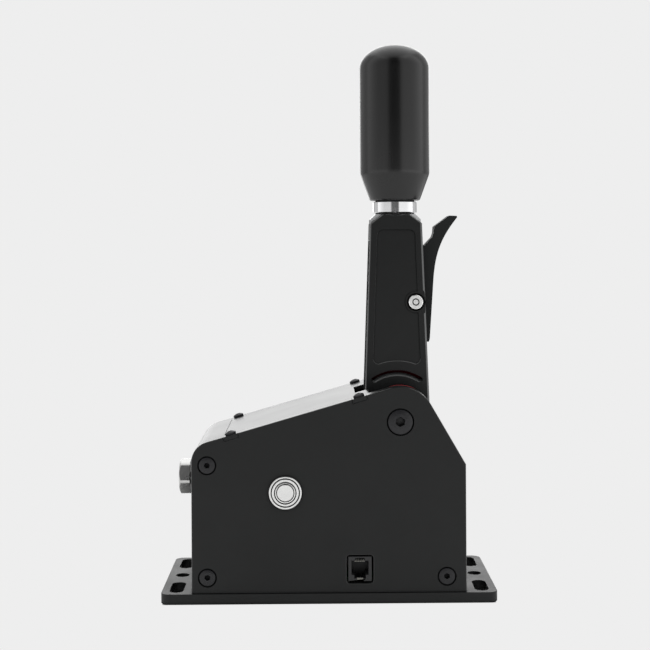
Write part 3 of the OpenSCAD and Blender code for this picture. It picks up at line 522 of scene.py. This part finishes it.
def grown(name, mesh, tree, values):
    """Runs a geometry tree on a mesh and returns a plain object of the result."""
    seedling = in_place(name + "_places", mesh)
    growth = seedling.modifiers.new("growth", "NODES")
    growth.node_group = tree
    for item in tree.interface.items_tree:
        if item.in_out == "INPUT" and item.name in values:
            growth[item.identifier] = values[item.name]
    evaluated = seedling.evaluated_get(bpy.context.evaluated_depsgraph_get())
    result = bpy.data.meshes.new_from_object(evaluated)
    seedling.modifiers.clear()
    bpy.data.objects.remove(seedling)
    return in_place(name, result)


def screws(node, screw, places, seed, body="housing"):
    """Replaces a CAD node of screws: the detailed screw at each place, which is a point and an axis."""
    master = in_place(node + "_master", screw.copy())
    points = bpy.data.meshes.new(node)
    points.from_pydata([Vector(at) * MM for at, way in places], [], [])
    ways = points.attributes.new("axis", "FLOAT_VECTOR", "POINT")
    for item, (at, way) in zip(ways.data, places):
        item.vector = way
    values = {"Screw": master, "Turn seed": seed, "Finish": black_oxide}
    made = grown(node + "_finished", points, screw_set, values)
    bpy.data.objects.remove(master)
    shade(made.data)
    fit(made, body, "black_screw", black_oxide, node)


black_oxide, tree, shader = surface("black_oxide_steel", "#161618", 0, 0.36, 1.42)
grain(tree, shader, 1.2, 0.08, (0.24, 0.46), ("#0f0f10", "#222225"))
# Painted shade: the screws' reflection is turned down in their hexagon sockets and in the countersinks
# round the heads.
painted_hollow_shade(tree, shader, 2.2)
front_x, rear_x = -79, 79
panel_y, base_y, guide_y = 17.5, 9, 11
plate_screw = flat_screw(5, 9.3, 20, 3)
base_screw = flat_screw(5, 9.3, 15, 3)
panel_screw = flat_screw(4, 7.4, 10, 2.5)
for name, side, seed in (("near_plate_screws", -1, 3), ("far_plate_screws", 1, 8)):
    screws(name, plate_screw, [((x, side * side_out, z), (0, -side, 0)) for x, z in plate_screw_at], seed)
screws(
    "pivot_screws",
    flat_screw(8, 14.2, 22, 5),
    [((pivot_x, side * side_out, pivot_z), (0, -side, 0)) for side in (-1, 1)],
    5,
)
screws(
    "front_cover_screws",
    panel_screw,
    [((front_x, y, z), (1, 0, 0)) for y in (-panel_y, panel_y) for z in (low_z, 66)],
    2,
)
rear_places = [((rear_x, y, low_z), (-1, 0, 0)) for y in (-panel_y, panel_y)]
screws("rear_panel_screws", panel_screw, rear_places, 4)
base_places = [((x, y, 0), (0, 0, 1)) for x in (-69, 68.7) for y in (-base_y, base_y)]
screws("base_screws", base_screw, base_places, 6)
screws("guide_screws", base_screw, [((15.1, y, 0), (0, 0, 1)) for y in (-guide_y, guide_y)], 7)

# Cover screws
# Four button head screws through the ears of the top cover into the edges of the side plates.
# They stand square to the slope, with a smooth pressed dome round the hexagon socket.
slope, crown_r, ear_y = math.radians(16), 20.3, 37
dome_r, dome_low = 5.4, 3.2


def dome(radius):
    """The height of the screw's dome above its seat at a radius, in millimetres."""
    return math.sqrt(dome_r**2 - radius**2) - dome_low


button_screw = loft(
    "button_screw",
    [(-0.5, 0), (-0.8, hexagon(2.5)), (0.1 - dome(1.6), hexagon(2.5)), (-dome(1.6), hexagon(2.9))]
    + [(-dome(r), r) for r in (1.9, 2.2, 2.5, 2.8, 3.05)]
    + [(-dome(3.1) + 0.15, 3.2), (-0.1, 3.2), (0, 3.1), (0, 2), (10, 2), (10, 0)],
)
into_slope = Vector((math.sin(slope), 0, -math.cos(slope)))


def slope_z(x):
    """The height of the sloping top at x, from the round top about the pivot."""
    return pivot_z + (crown_r + math.sin(slope) * (x - pivot_x)) / math.cos(slope)


ears = [((x, y, slope_z(x)), into_slope) for x in (-56.4, 17.7) for y in (-ear_y, ear_y)]
screws("cover_screws", button_screw, ears, 9)

# Pivot and slide gear
# The shaft, the two ball bearings, the tail's roller and pin, the shuttle and the grip's stud are
# hardened steel, ground to size: a bright grey with a fine even grain.
ground, tree, shader = surface("ground_steel", "#a6a8aa", 1, 0.24)
grain(tree, shader, 0.4, 0.004, (0.2, 0.3))
coat(ground, "pivot_shaft", "pivot_bearings", "tail_roller", "roller_pin", "shuttle", "knob_stud")
# The magnet's nickel plate is brighter than steel, with a warm cast.
nickel, tree, shader = surface("nickel_plated_magnet", "#b5b2a9", 1, 0.2)
grain(tree, shader, 1.5, 0.004, (0.16, 0.26))
coat(nickel, "lever_magnet")

# Lever
# Two machined cheeks with a sunk panel, on a spine and a red core that carries the bearings. The
# cheeks are fine blasted and black anodised, an even black with soft highlights, and have narrow
# chamfers cut round face and slot.
black_lever, tree, shader = surface("black_anodised_machined_aluminium", "#121313", 0, 0.36, 1.36)
grain(tree, shader, 0.3, 0.007, (0.32, 0.4), ("#101111", "#151616"))
# Painted shade: the cheeks' reflection is turned down at the sunk panel's steps, in the wells and in the
# slot.
painted_hollow_shade(tree, shader, 1.2)
cheek_face = 13
foot_r = 19.7
taper = math.tan(math.radians(2.12))
corner_z = 218.4
pin_x, pin_z, pin_clear = 52.9, 171.3, 7
slot_floor_r = 24
beside_middle = 10
on_face = 0.01


def on_rim(middle):
    """True on the outer edge of a cheek's outer face."""
    across = abs(middle.x - pivot_x)
    if abs(abs(middle.y) - cheek_face) > on_face:
        return False
    if middle.z < pivot_z:
        return math.hypot(across, middle.z - pivot_z) > foot_r - 0.6
    return middle.z > corner_z - 0.1 or across > foot_r - taper * (middle.z - pivot_z) - 0.4


def beside_pin(middle):
    """True on the part of the rim that the trigger pin's well nearly touches."""
    return on_rim(middle) and middle.x > pivot_x + beside_middle and abs(middle.z - pin_z) < pin_clear


def right_rim(middle):
    """True on the rim's right side, above and below that part."""
    below_corner = middle.x > pivot_x + beside_middle and middle.z < corner_z - 3
    return on_rim(middle) and below_corner and not beside_pin(middle)


def left_rim(middle):
    """True on the rest of the rim."""
    return on_rim(middle) and not beside_pin(middle) and not right_rim(middle)


def off_rim(middle):
    """True on the panel, the slot and the holes of a cheek's outer face."""
    across = abs(middle.x - pivot_x)
    outside = across > foot_r - taper * (middle.z - pivot_z) - 2
    return abs(abs(middle.y) - cheek_face) < on_face and not outside and 110 < middle.z < 216


def slot_sill(middle):
    """True on the lower edge of the arc slot in a cheek's outer face."""
    off_floor = abs(math.hypot(middle.x - pivot_x, middle.z - pivot_z) - slot_floor_r)
    return abs(abs(middle.y) - cheek_face) < on_face and off_floor < 0.3 and middle.z > pivot_z + 15


def on_slot_floor(middle):
    """True on the lower wall of the arc slot, between a cheek's faces."""
    off_floor = abs(math.hypot(middle.x - pivot_x, middle.z - pivot_z) - slot_floor_r)
    return off_floor < 1.2 and abs(middle.y) < cheek_face - 1 and middle.z > pivot_z + 12


def panel_sill(middle):
    """True on the arched lower edge of the sunk panel in a cheek's outer face."""
    return off_rim(middle) and pivot_z + 26 < middle.z < pivot_z + 35


def panel_left(middle):
    """True on the sunk panel's left edge in a cheek's outer face."""
    return off_rim(middle) and middle.z > pivot_z + 35 and middle.x < pivot_x - beside_middle


# The cutter left the chamfers smoother than the blasted faces, so they catch more light. The
# side faces were only tumbled after sawing, and are duller.
cut_edge, tree, shader = surface("black_anodised_cut_edge", "#1f2020", 0, 0.34, 1.8)
grain(tree, shader, 0.3, 0.003, (0.28, 0.34))
tumbled, tree, shader = surface("black_anodised_tumbled_aluminium", "#202121", 0, 0.55, 1.15)
grain(tree, shader, 0.3, 0.01, (0.5, 0.6), ("#1e1f1f", "#222323"))
# The floor of the arc slot rises towards the inside. Its up-facing lower wall is painted pale grey, a
# painted highlight of the light from above.
floor_rise, floor_depth = 1.2, 5
lit_slot_floor, tree, shader = surface("anodised_slot_floor_painted_light", "#555757", 0, 0.5, 1.5)
grain(tree, shader, 0.3, 0.006, (0.45, 0.55))
passes = [(0.6, left_rim, 1), (1.1, right_rim, 1), (0.28, beside_pin, 1)]
passes += [(0.35, slot_sill, 1), (0.4, panel_sill, 1), (0.2, panel_left, 1)]
for cheek in ("near_cheek", "far_cheek"):
    piece = broken_edges(cheek, passes, 1, False, (pin_z - pin_clear, pin_z + pin_clear))
    for vertex in piece.data.vertices:
        point = vertex.co / MM
        if on_slot_floor(point) and abs(point.y) < cheek_face - floor_depth:
            outward = Vector((point.x - pivot_x, 0, point.z - pivot_z)).normalized()
            vertex.co += outward * floor_rise * MM
    fit(piece, "lever", "black_lever", black_lever, cheek)
    piece.data.materials.append(cut_edge)
    refinish(piece, tumbled, lambda normal, centre: abs(normal.x) > 0.9)
    # Painted light: the up-facing faces of the slot's lower wall take the pale finish.
    refinish(piece, lit_slot_floor, lambda normal, centre: normal.z > 0.7 and on_slot_floor(centre))
piece = broken_edges("lever_spine", [(0.4, anywhere, 0)])
fit(piece, "lever", "black_lever", tumbled, "lever_spine")
panel_depth = 0.5
cheek_places = [(31, 214.5), (51.8, 214.5), (33.4, 191.3), (33, 159.3)]
cheek_places += [(33, 141), (51, 141), (31.5, 118), (51.3, 118)]
screws(
    "cheek_screws",
    flat_screw(4, 7.4, 22.5, 2.5),
    [((x, cheek_face - panel_depth, z), (0, -1, 0)) for x, z in cheek_places],
    11,
    "lever",
)
# The core is red anodised, its dye clear over bright metal. Its red is painted far darker than the
# collar's, as painted shade, and an ambient occlusion node darkens it further deep in the slot, more
# painted shade.
red_anodised, tree, shader = surface("red_anodised_aluminium_painted_dark", "#2c0508", 1, 0.24)
grain(tree, shader, 0.4, 0.004, (0.2, 0.28))
sunk = add(tree, "ShaderNodeAmbientOcclusion", {"Color": linear("#2c0508"), "Distance": 4 * MM}, samples=8)
tree.links.new(sunk.outputs["Color"], shader.inputs["Base Color"])
coat(red_anodised, "lever_core")


def stand(mesh, at, axis=(0, 0, 1), turn=0):
    """Moves a lofted mesh from the origin to a place in millimetres, with its +Z along an axis."""
    aim = Vector((0, 0, 1)).rotation_difference(Vector(axis)).to_matrix().to_4x4()
    mesh.transform(Matrix.Translation(Vector(at) * MM) @ aim @ Matrix.Rotation(turn, 4, "Z"))
    return mesh


# A thin red collar on each cheek, set back a little from the pivot, clears the spacer and just
# shows over the crown of the side plate.
red_collar, tree, shader = surface("red_anodised_turned_aluminium", "#7a2a2e", 1, 0.3)
grain(tree, shader, 0.4, 0.004, (0.26, 0.34))
collar_in, collar_out, collar_t, collar_back, collar_edge = 10.4, 18.35, 0.9, 1.5, 0.3
collar_profile = [(0, collar_in), (0, collar_out), (collar_t - collar_edge, collar_out)]
collar_profile += [(collar_t, collar_out - collar_edge), (collar_t, collar_in)]
for side, name in ((-1, "near_collar"), (1, "far_collar")):
    collar_at = (pivot_x + collar_back, side * cheek_face, pivot_z)
    collar = stand(loft(name, collar_profile, 96), collar_at, (0, side, 0))
    fit(in_place(name, collar), "lever", "red_anodised", red_collar)

# Neck and lock ring
# The silver block between the cheeks and the ring that locks the grip are clear anodised
# aluminium: nearly white, satin, with the lathe's fine lines round the ring. The block's two
# upright sides are dyed black like the cheeks, so only its sloping shoulders shine.
silver, tree, shader = surface("clear_anodised_aluminium", "#eeeff0", 1, 0.3)
grain(tree, shader, 0.5, 0.006, (0.26, 0.36), ("#e8e9ea", "#f4f5f6"), (1, 1, 0.05))
piece = broken_edges("neck_block", [(0.4, anywhere, 0)])
fit(piece, "lever", "silver_anodised", silver, "neck_block")
refinish(piece, tumbled, lambda normal, centre: abs(normal.x) > 0.95)


def lathe_lines_and_groove_shade(tree, shader, centre, pitch_mm, depth, groove_shade_r):
    """Fine circles about a line along Y through the centre, as a lathe leaves on a face, and painted
    shade: inside a radius, the colour goes dark grey where the surface lies more than a few tenths of a
    millimetre in."""
    place = add(tree, "ShaderNodeTexCoord").outputs["Object"]
    centred = add(tree, "ShaderNodeMapping", {"Vector": place, "Location": -centre * MM})
    parts = add(tree, "ShaderNodeSeparateXYZ", {0: centred.outputs[0]})
    flat = add(tree, "ShaderNodeCombineXYZ", {"X": parts.outputs["X"], "Y": parts.outputs["Z"]})
    radius = add(tree, "ShaderNodeVectorMath", {0: flat.outputs[0]}, operation="LENGTH")
    lines = add(
        tree,
        "ShaderNodeTexNoise",
        {"W": radius.outputs["Value"], "Scale": 1 / (pitch_mm * MM), "Detail": 2.0},
        noise_dimensions="1D",
    )
    dent = add(
        tree,
        "ShaderNodeBump",
        {"Height": lines.outputs["Fac"], "Distance": depth * MM, "Strength": 1.0},
    )
    tree.links.new(dent.outputs[0], shader.inputs["Normal"])
    inward = add(
        tree,
        "ShaderNodeMapRange",
        {"Value": parts.outputs["Y"], "From Min": 0.2 * MM, "From Max": 0.6 * MM},
    )
    inside = add(
        tree, "ShaderNodeMath", {0: radius.outputs["Value"], 1: groove_shade_r * MM}, operation="LESS_THAN"
    )
    groove_shade_mask = add(
        tree, "ShaderNodeMath", {0: inward.outputs[0], 1: inside.outputs[0]}, operation="MULTIPLY"
    )
    clean = shader.inputs["Base Color"].default_value
    painted_groove_shade = add(
        tree,
        "ShaderNodeMix",
        {"Factor": groove_shade_mask.outputs[0], "A": clean, "B": linear("#2a2a2a")},
        data_type="RGBA",
    )
    tree.links.new(painted_groove_shade.outputs["Result"], shader.inputs["Base Color"])


turned_silver, tree, shader = surface("turned_clear_anodised_aluminium", "#e6e6e7", 1, 0.12)
grain(tree, shader, 0.4, 0.004, (0.1, 0.14), None, (0.03, 0.03, 1))
stud_r = 6.05
ring_profile = [(0, stud_r), (0, 12.85), (0.4, 13.25), (6.3, 13.25), (6.7, 12.85), (6.7, stud_r)]
ring_mesh = stand(loft("lock_ring", ring_profile, 96), (pivot_x, 0, 224.9))
fit(in_place("lock_ring_finished", ring_mesh), "lever", "silver_anodised", turned_silver, "lock_ring")
# Washers and bump pad are moulded rubber, matt and without a highlight.
rubber, tree, shader = surface("black_nitrile_rubber", "#161616", 0, 0.75, 1.5)
grain(tree, shader, 0.6, 0.02, (0.7, 0.8))
coat(rubber, "ring_washers", "bump_pad")

# Grip
# A turned aluminium grip with a domed end and a cone down to the ring, black anodised on a
# smooth cut: nearly black where nothing is mirrored, with soft grey bands of the softboxes.
grip_r, grip_l, dome_h, bore_l = 21.1, 94.3, 14.6, 28
grip_profile = [(bore_l, 0), (bore_l, stud_r), (0, stud_r), (0, 14.5), (0.15, 14.9), (0.5, 15.25)]
grip_profile += [(1, 15.5), (14.4, 20.45), (15.2, 20.72), (16, 20.93), (17, 21.06), (18.2, grip_r)]
for step in range(19):
    rise = math.radians(step * 5)
    width = grip_r * math.cos(rise) if step < 18 else 0
    grip_profile.append((grip_l - dome_h * (1 - math.sin(rise)), width))
grip_mesh = stand(loft("knob", grip_profile, 128), (pivot_x, 0, 232.4))
black_grip, tree, shader = surface("black_anodised_turned_aluminium", "#090909", 0, 0.26, 1.48)
grain(tree, shader, 0.5, 0.003, (0.25, 0.28), ("#080808", "#0b0b0b"), (0.03, 0.03, 1))
fit(in_place("knob_finished", grip_mesh), "lever", "black_knob", black_grip, "knob")

# Trigger
# A finger trigger milled from plate and tumbled dull, on a bright pin with one turned groove. It
# runs between brass washers and works a small sealed switch.
fit(broken_edges("trigger", [(0.6, anywhere, 0)]), "trigger", "black_lever", tumbled, "trigger")
pin_proud = 0.3
pin_at = Vector((pin_x, -cheek_face - pin_proud, pin_z))
pin_profile = [(0.1, 0), (0.1, 1.5), (0.7, 1.6), (0.7, 2.1), (0.05, 2.2), (0, 2.3), (0, 3.9)]
pin_profile += [(0.15, 4.2), (0.5, 4.4), (2.4, 4.4), (2.4, 2.5), (24.7, 2.5), (25.1, 2.1), (25.1, 0)]
pin_mesh = stand(loft("trigger_pin", pin_profile), pin_at, (0, 1, 0))
turned_pin, tree, shader = surface("turned_steel_pin", "#f6f6f5", 1, 0.2)
# Painted shade: the pin's turned groove is painted dark grey.
lathe_lines_and_groove_shade(tree, shader, pin_at, 0.3, 0.006, 3)
fit(in_place("trigger_pin_finished", pin_mesh), "lever", "silver_anodised", turned_pin, "trigger_pin")
# Rolled brass shines yellow; sintered bronze is browner, dull and finely porous.
brass, tree, shader = surface("rolled_brass", "#c9a558", 1, 0.28)
grain(tree, shader, 0.6, 0.005, (0.24, 0.34))
bronze, tree, shader = surface("sintered_bronze", "#a27c4a", 1, 0.45)
grain(tree, shader, 0.25, 0.02, (0.4, 0.55), ("#8f6b3e", "#b08954"))
coat(brass, "trigger_washers")
coat(bronze, "guide_bush")
# Glass filled nylon is a dull black with a faint grain; the plunger's acetal is smooth and waxy.
black_nylon, tree, shader = surface("black_glass_filled_nylon", "#1b1b1c", 0, 0.45, 1.53)
grain(tree, shader, 0.3, 0.01, (0.4, 0.52), ("#181819", "#1f1f20"))
red_acetal, tree, shader = surface("red_acetal", "#a8201f", 0, 0.35, 1.48)
grain(tree, shader, 0.4, 0.004, (0.3, 0.4))
coat(black_nylon, "trigger_switch")
coat(red_acetal, "switch_plunger")

# Springs
# Coils of drawn spring steel wire: two stiff ones that bring the lever back to the middle, a
# light one behind the trigger and one under the push button's cap.
coil = bpy.data.node_groups.new("coil_spring", "GeometryNodeTree")
for label, kind in (
    ("Start", "NodeSocketGeometry"),
    ("Coil radius", "NodeSocketFloat"),
    ("Wire radius", "NodeSocketFloat"),
    ("Length", "NodeSocketFloat"),
    ("Turns", "NodeSocketFloat"),
    ("Finish", "NodeSocketMaterial"),
):
    coil.interface.new_socket(label, in_out="INPUT", socket_type=kind)
coil.interface.new_socket("Spring", in_out="OUTPUT", socket_type="NodeSocketGeometry")
given = add(coil, "NodeGroupInput").outputs
helix = add(
    coil,
    "GeometryNodeCurveSpiral",
    {
        "Resolution": 36,
        "Rotations": given["Turns"],
        "Start Radius": given["Coil radius"],
        "End Radius": given["Coil radius"],
        "Height": given["Length"],
    },
)
wire = add(coil, "GeometryNodeCurvePrimitiveCircle", {"Resolution": 12, "Radius": given["Wire radius"]})
drawn = add(
    coil,
    "GeometryNodeCurveToMesh",
    {"Curve": helix.outputs[0], "Profile Curve": wire.outputs[0], "Fill Caps": True},
)
real = add(coil, "GeometryNodeRealizeInstances", {"Geometry": drawn.outputs[0]})
finished = add(coil, "GeometryNodeSetMaterial", {"Geometry": real.outputs[0], "Material": given["Finish"]})
add(coil, "NodeGroupOutput", {"Spring": finished.outputs[0]})
# Drawn wire is a dark grey metal with a blurred shine.
spring_steel, tree, shader = surface("drawn_spring_steel", "#6d6e71", 1, 0.34)
grain(tree, shader, 0.5, 0.008, (0.3, 0.42))


def spring(node, body, outside, wire_d, turns, at, length, axis):
    """Replaces a CAD node by a coil between two planes, with its outer and wire diameters in millimetres."""
    values = {
        "Coil radius": (outside - wire_d) / 2 * MM,
        "Wire radius": wire_d / 2 * MM,
        "Length": (length - wire_d) * MM,
        "Turns": turns,
        "Finish": spring_steel,
    }
    made = grown(node + "_finished", bpy.data.meshes.new(node), coil, values)
    made.data.transform(Matrix.Translation((0, 0, wire_d / 2 * MM)))
    stand(made.data, at, axis)
    shade(made.data, 60)
    fit(made, body, "spring_steel", spring_steel, node)
    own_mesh(made)


tail_z = 66
along_x, along_y = Vector((1, 0, 0)), Vector((0, 1, 0))
seat_end, collar_end, spine_x = (-50.9, 0, tail_z), (-18.9, 0, tail_z), 41
outside, wire_d, turns, free_l, stroke = 20, 2.5, 6.5, 27, 5.3
for node, body, start, fixed in (
    ("preload_spring", "spring_seat", seat_end, 0),
    ("return_spring", "housing", collar_end, 1),
):
    spring(node, body, outside, wire_d, turns, start, free_l, along_x)
behind_trigger = (spine_x, 0, pin_z + 26.7)
spring("trigger_spring", "lever", 6, 0.7, 6, behind_trigger, 11.9, along_x)
under_cap = (-25, -33.7, 63.6)
spring("button_spring", "housing", 8, 0.7, 2.5, under_cap, 3.1, along_y)

# Adjuster bolt
# An M12 bolt with a chamfered hexagon head, zinc plated: grey and bright, slightly mottled. It
# screws into the block behind the front cover and presses on the spring seat.
flats, head_h, shank_l, tip_l = 19, 6.6, 27, 6
thread_r, pitch, thread_depth, pitch_steps = 6, 1.75, 0.95, 8
pressed_r, cone_r, cone_slope, cone_step = 10.5, 9.15, 1.75, 0.12
sharp_hexagon = hexagon(flats)


def head_hexagon(angle):
    """The head's radius: the hexagon with its six edges pressed round."""
    return min(sharp_hexagon(angle), pressed_r)


def chamfered(height):
    """The head's radius near its end: the hexagon cut by a cone."""
    return lambda angle: min(head_hexagon(angle), cone_r + cone_slope * height)


def threaded(height):
    """The thread's radius at a height: one ridge that climbs by the pitch each turn."""
    return lambda angle: thread_r - thread_depth * abs(2 * ((height / pitch - angle / math.tau) % 1) - 1)


bolt_profile = [(0.12, 0), (0.12, 6.4), (0, 6.7), (0, 9)]
bolt_profile += [(cone_step * k, chamfered(cone_step * k)) for k in range(1, 11)]
bolt_profile += [(head_h - 0.25, head_hexagon), (head_h, hexagon(flats - 0.5)), (head_h, 5.8)]
for k in range(int(shank_l / pitch * pitch_steps) - 1):
    along = pitch * k / pitch_steps
    bolt_profile.append((head_h + along + pitch / pitch_steps, threaded(along)))
bolt_profile += [(head_h + shank_l, 4), (head_h + shank_l + tip_l, 4), (head_h + shank_l + tip_l, 0)]
bolt_mesh = loft("adjuster_bolt", bolt_profile, 96)
head_front_x, bolt_turn = -89.6, math.radians(8)
stand(bolt_mesh, (head_front_x, 0, tail_z), (1, 0, 0), bolt_turn)
zinc, tree, shader = surface("zinc_plated_steel", "#c6c6c4", 1, 0.3)
grain(tree, shader, 1.2, 0.02, (0.24, 0.36), ("#bababa", "#d2d2d0"))
fit(in_place("adjuster_bolt_finished", bolt_mesh), "adjuster", "zinc_steel", zinc, "adjuster_bolt")

# Push button
# A stainless bezel turned with a raised step, a round cap that moves in it and a nut inside. Faces are cut
# on the lathe, so fine circles show; the grooves between them are painted dark grey, as painted shade.
button_at = Vector((-25, -42.6, 63.6))
stainless, tree, shader = surface("turned_stainless_steel", "#e8e8e7", 1, 0.26)
lathe_lines_and_groove_shade(tree, shader, button_at, 0.35, 0.01, 9)
bezel_profile = [(12, 0), (12, 6.4), (0.3, 6.4), (0.05, 6.5), (0, 6.6), (0, 7.5), (0.15, 7.7), (1.2, 7.75)]
bezel_profile += [(1.2, 8.35), (0.15, 8.4), (0, 8.55), (0, 9.1), (0.12, 9.35), (0.4, 9.5), (1.6, 9.5)]
bezel_profile += [(1.6, 8), (23.2, 8), (23.6, 7.6), (23.6, 0)]
bezel_mesh = stand(loft("button_bezel", bezel_profile, 96), button_at, (0, 1, 0))
fit(in_place("button_bezel_finished", bezel_mesh), "housing", "stainless", stainless, "button_bezel")
cap_profile = [(8.9, 0), (8.9, 5.9), (0.1, 5.9), (-0.05, 5.8), (-0.1, 5.65), (-0.1, 5.35), (0, 5.25)]
cap_profile += [(1.1, 5.2), (1.1, 4.75), (0, 4.7), (-0.1, 4.55), (-0.1, 4.2), (-0.02, 0)]
cap_mesh = stand(loft("button_cap", cap_profile, 96), button_at, (0, 1, 0))
fit(in_place("button_cap_finished", cap_mesh), "button", "stainless", stainless, "button_cap")
coat(stainless, "button_nut")

# Socket and circuit boards
# A six-way modular socket moulded in black nylon with plated wires, soldered to a green
# board on posts; a smaller board carries the sensor that faces the lever's magnet. The end of
# the socket's shield spring catches light in the latch notch.
socket = broken_edges("jack_body", [(0.12, anywhere, 0)], 1)
fit(socket, "housing", "black_plastic", black_nylon, "jack_body")
# The plated wires are a soft, warm grey metal.
plated, tree, shader = surface("plated_phosphor_bronze", "#86857f", 1, 0.3)
grain(tree, shader, 0.5, 0.003, (0.25, 0.35))
coat(plated, "jack_contacts")
socket_low, socket_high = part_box("jack_body")
socket_x = (socket_low[0] + socket_high[0]) / 2
leaf_inside, leaf_up, leaf_lean, leaf_size = 1.4, 1, math.radians(-40), (3.7, 0.2, 1.2)
leaf_at = Vector((socket_x, socket_low[1] + leaf_inside * MM, socket_low[2] + leaf_up * MM))
leaf = bmesh.new()
leaf_place = Matrix.Translation(leaf_at) @ Matrix.Rotation(leaf_lean, 4, "X")
bmesh.ops.create_cube(leaf, size=MM, matrix=leaf_place @ Matrix.Diagonal((*leaf_size, 1)))
leaf_mesh = bpy.data.meshes.new("socket_shield_spring")
leaf.to_mesh(leaf_mesh)
leaf.free()
fit(in_place("socket_shield_spring", leaf_mesh), "housing", "plated_contact", plated)
# Solder mask is a glossy green lacquer, a little uneven in tone; the chips' epoxy is matt black.
solder_mask, tree, shader = surface("green_solder_mask", "#164a2b", 0, 0.3, 1.5)
grain(tree, shader, 1.4, 0.02, (0.24, 0.36), ("#123f24", "#1c5a35"))
coat(solder_mask, "control_board", "sensor_board")
epoxy, tree, shader = surface("black_moulded_epoxy", "#1a1a1b", 0, 0.55, 1.5)
grain(tree, shader, 0.25, 0.01, (0.5, 0.6))
coat(epoxy, "board_chips", "sensor_chip")
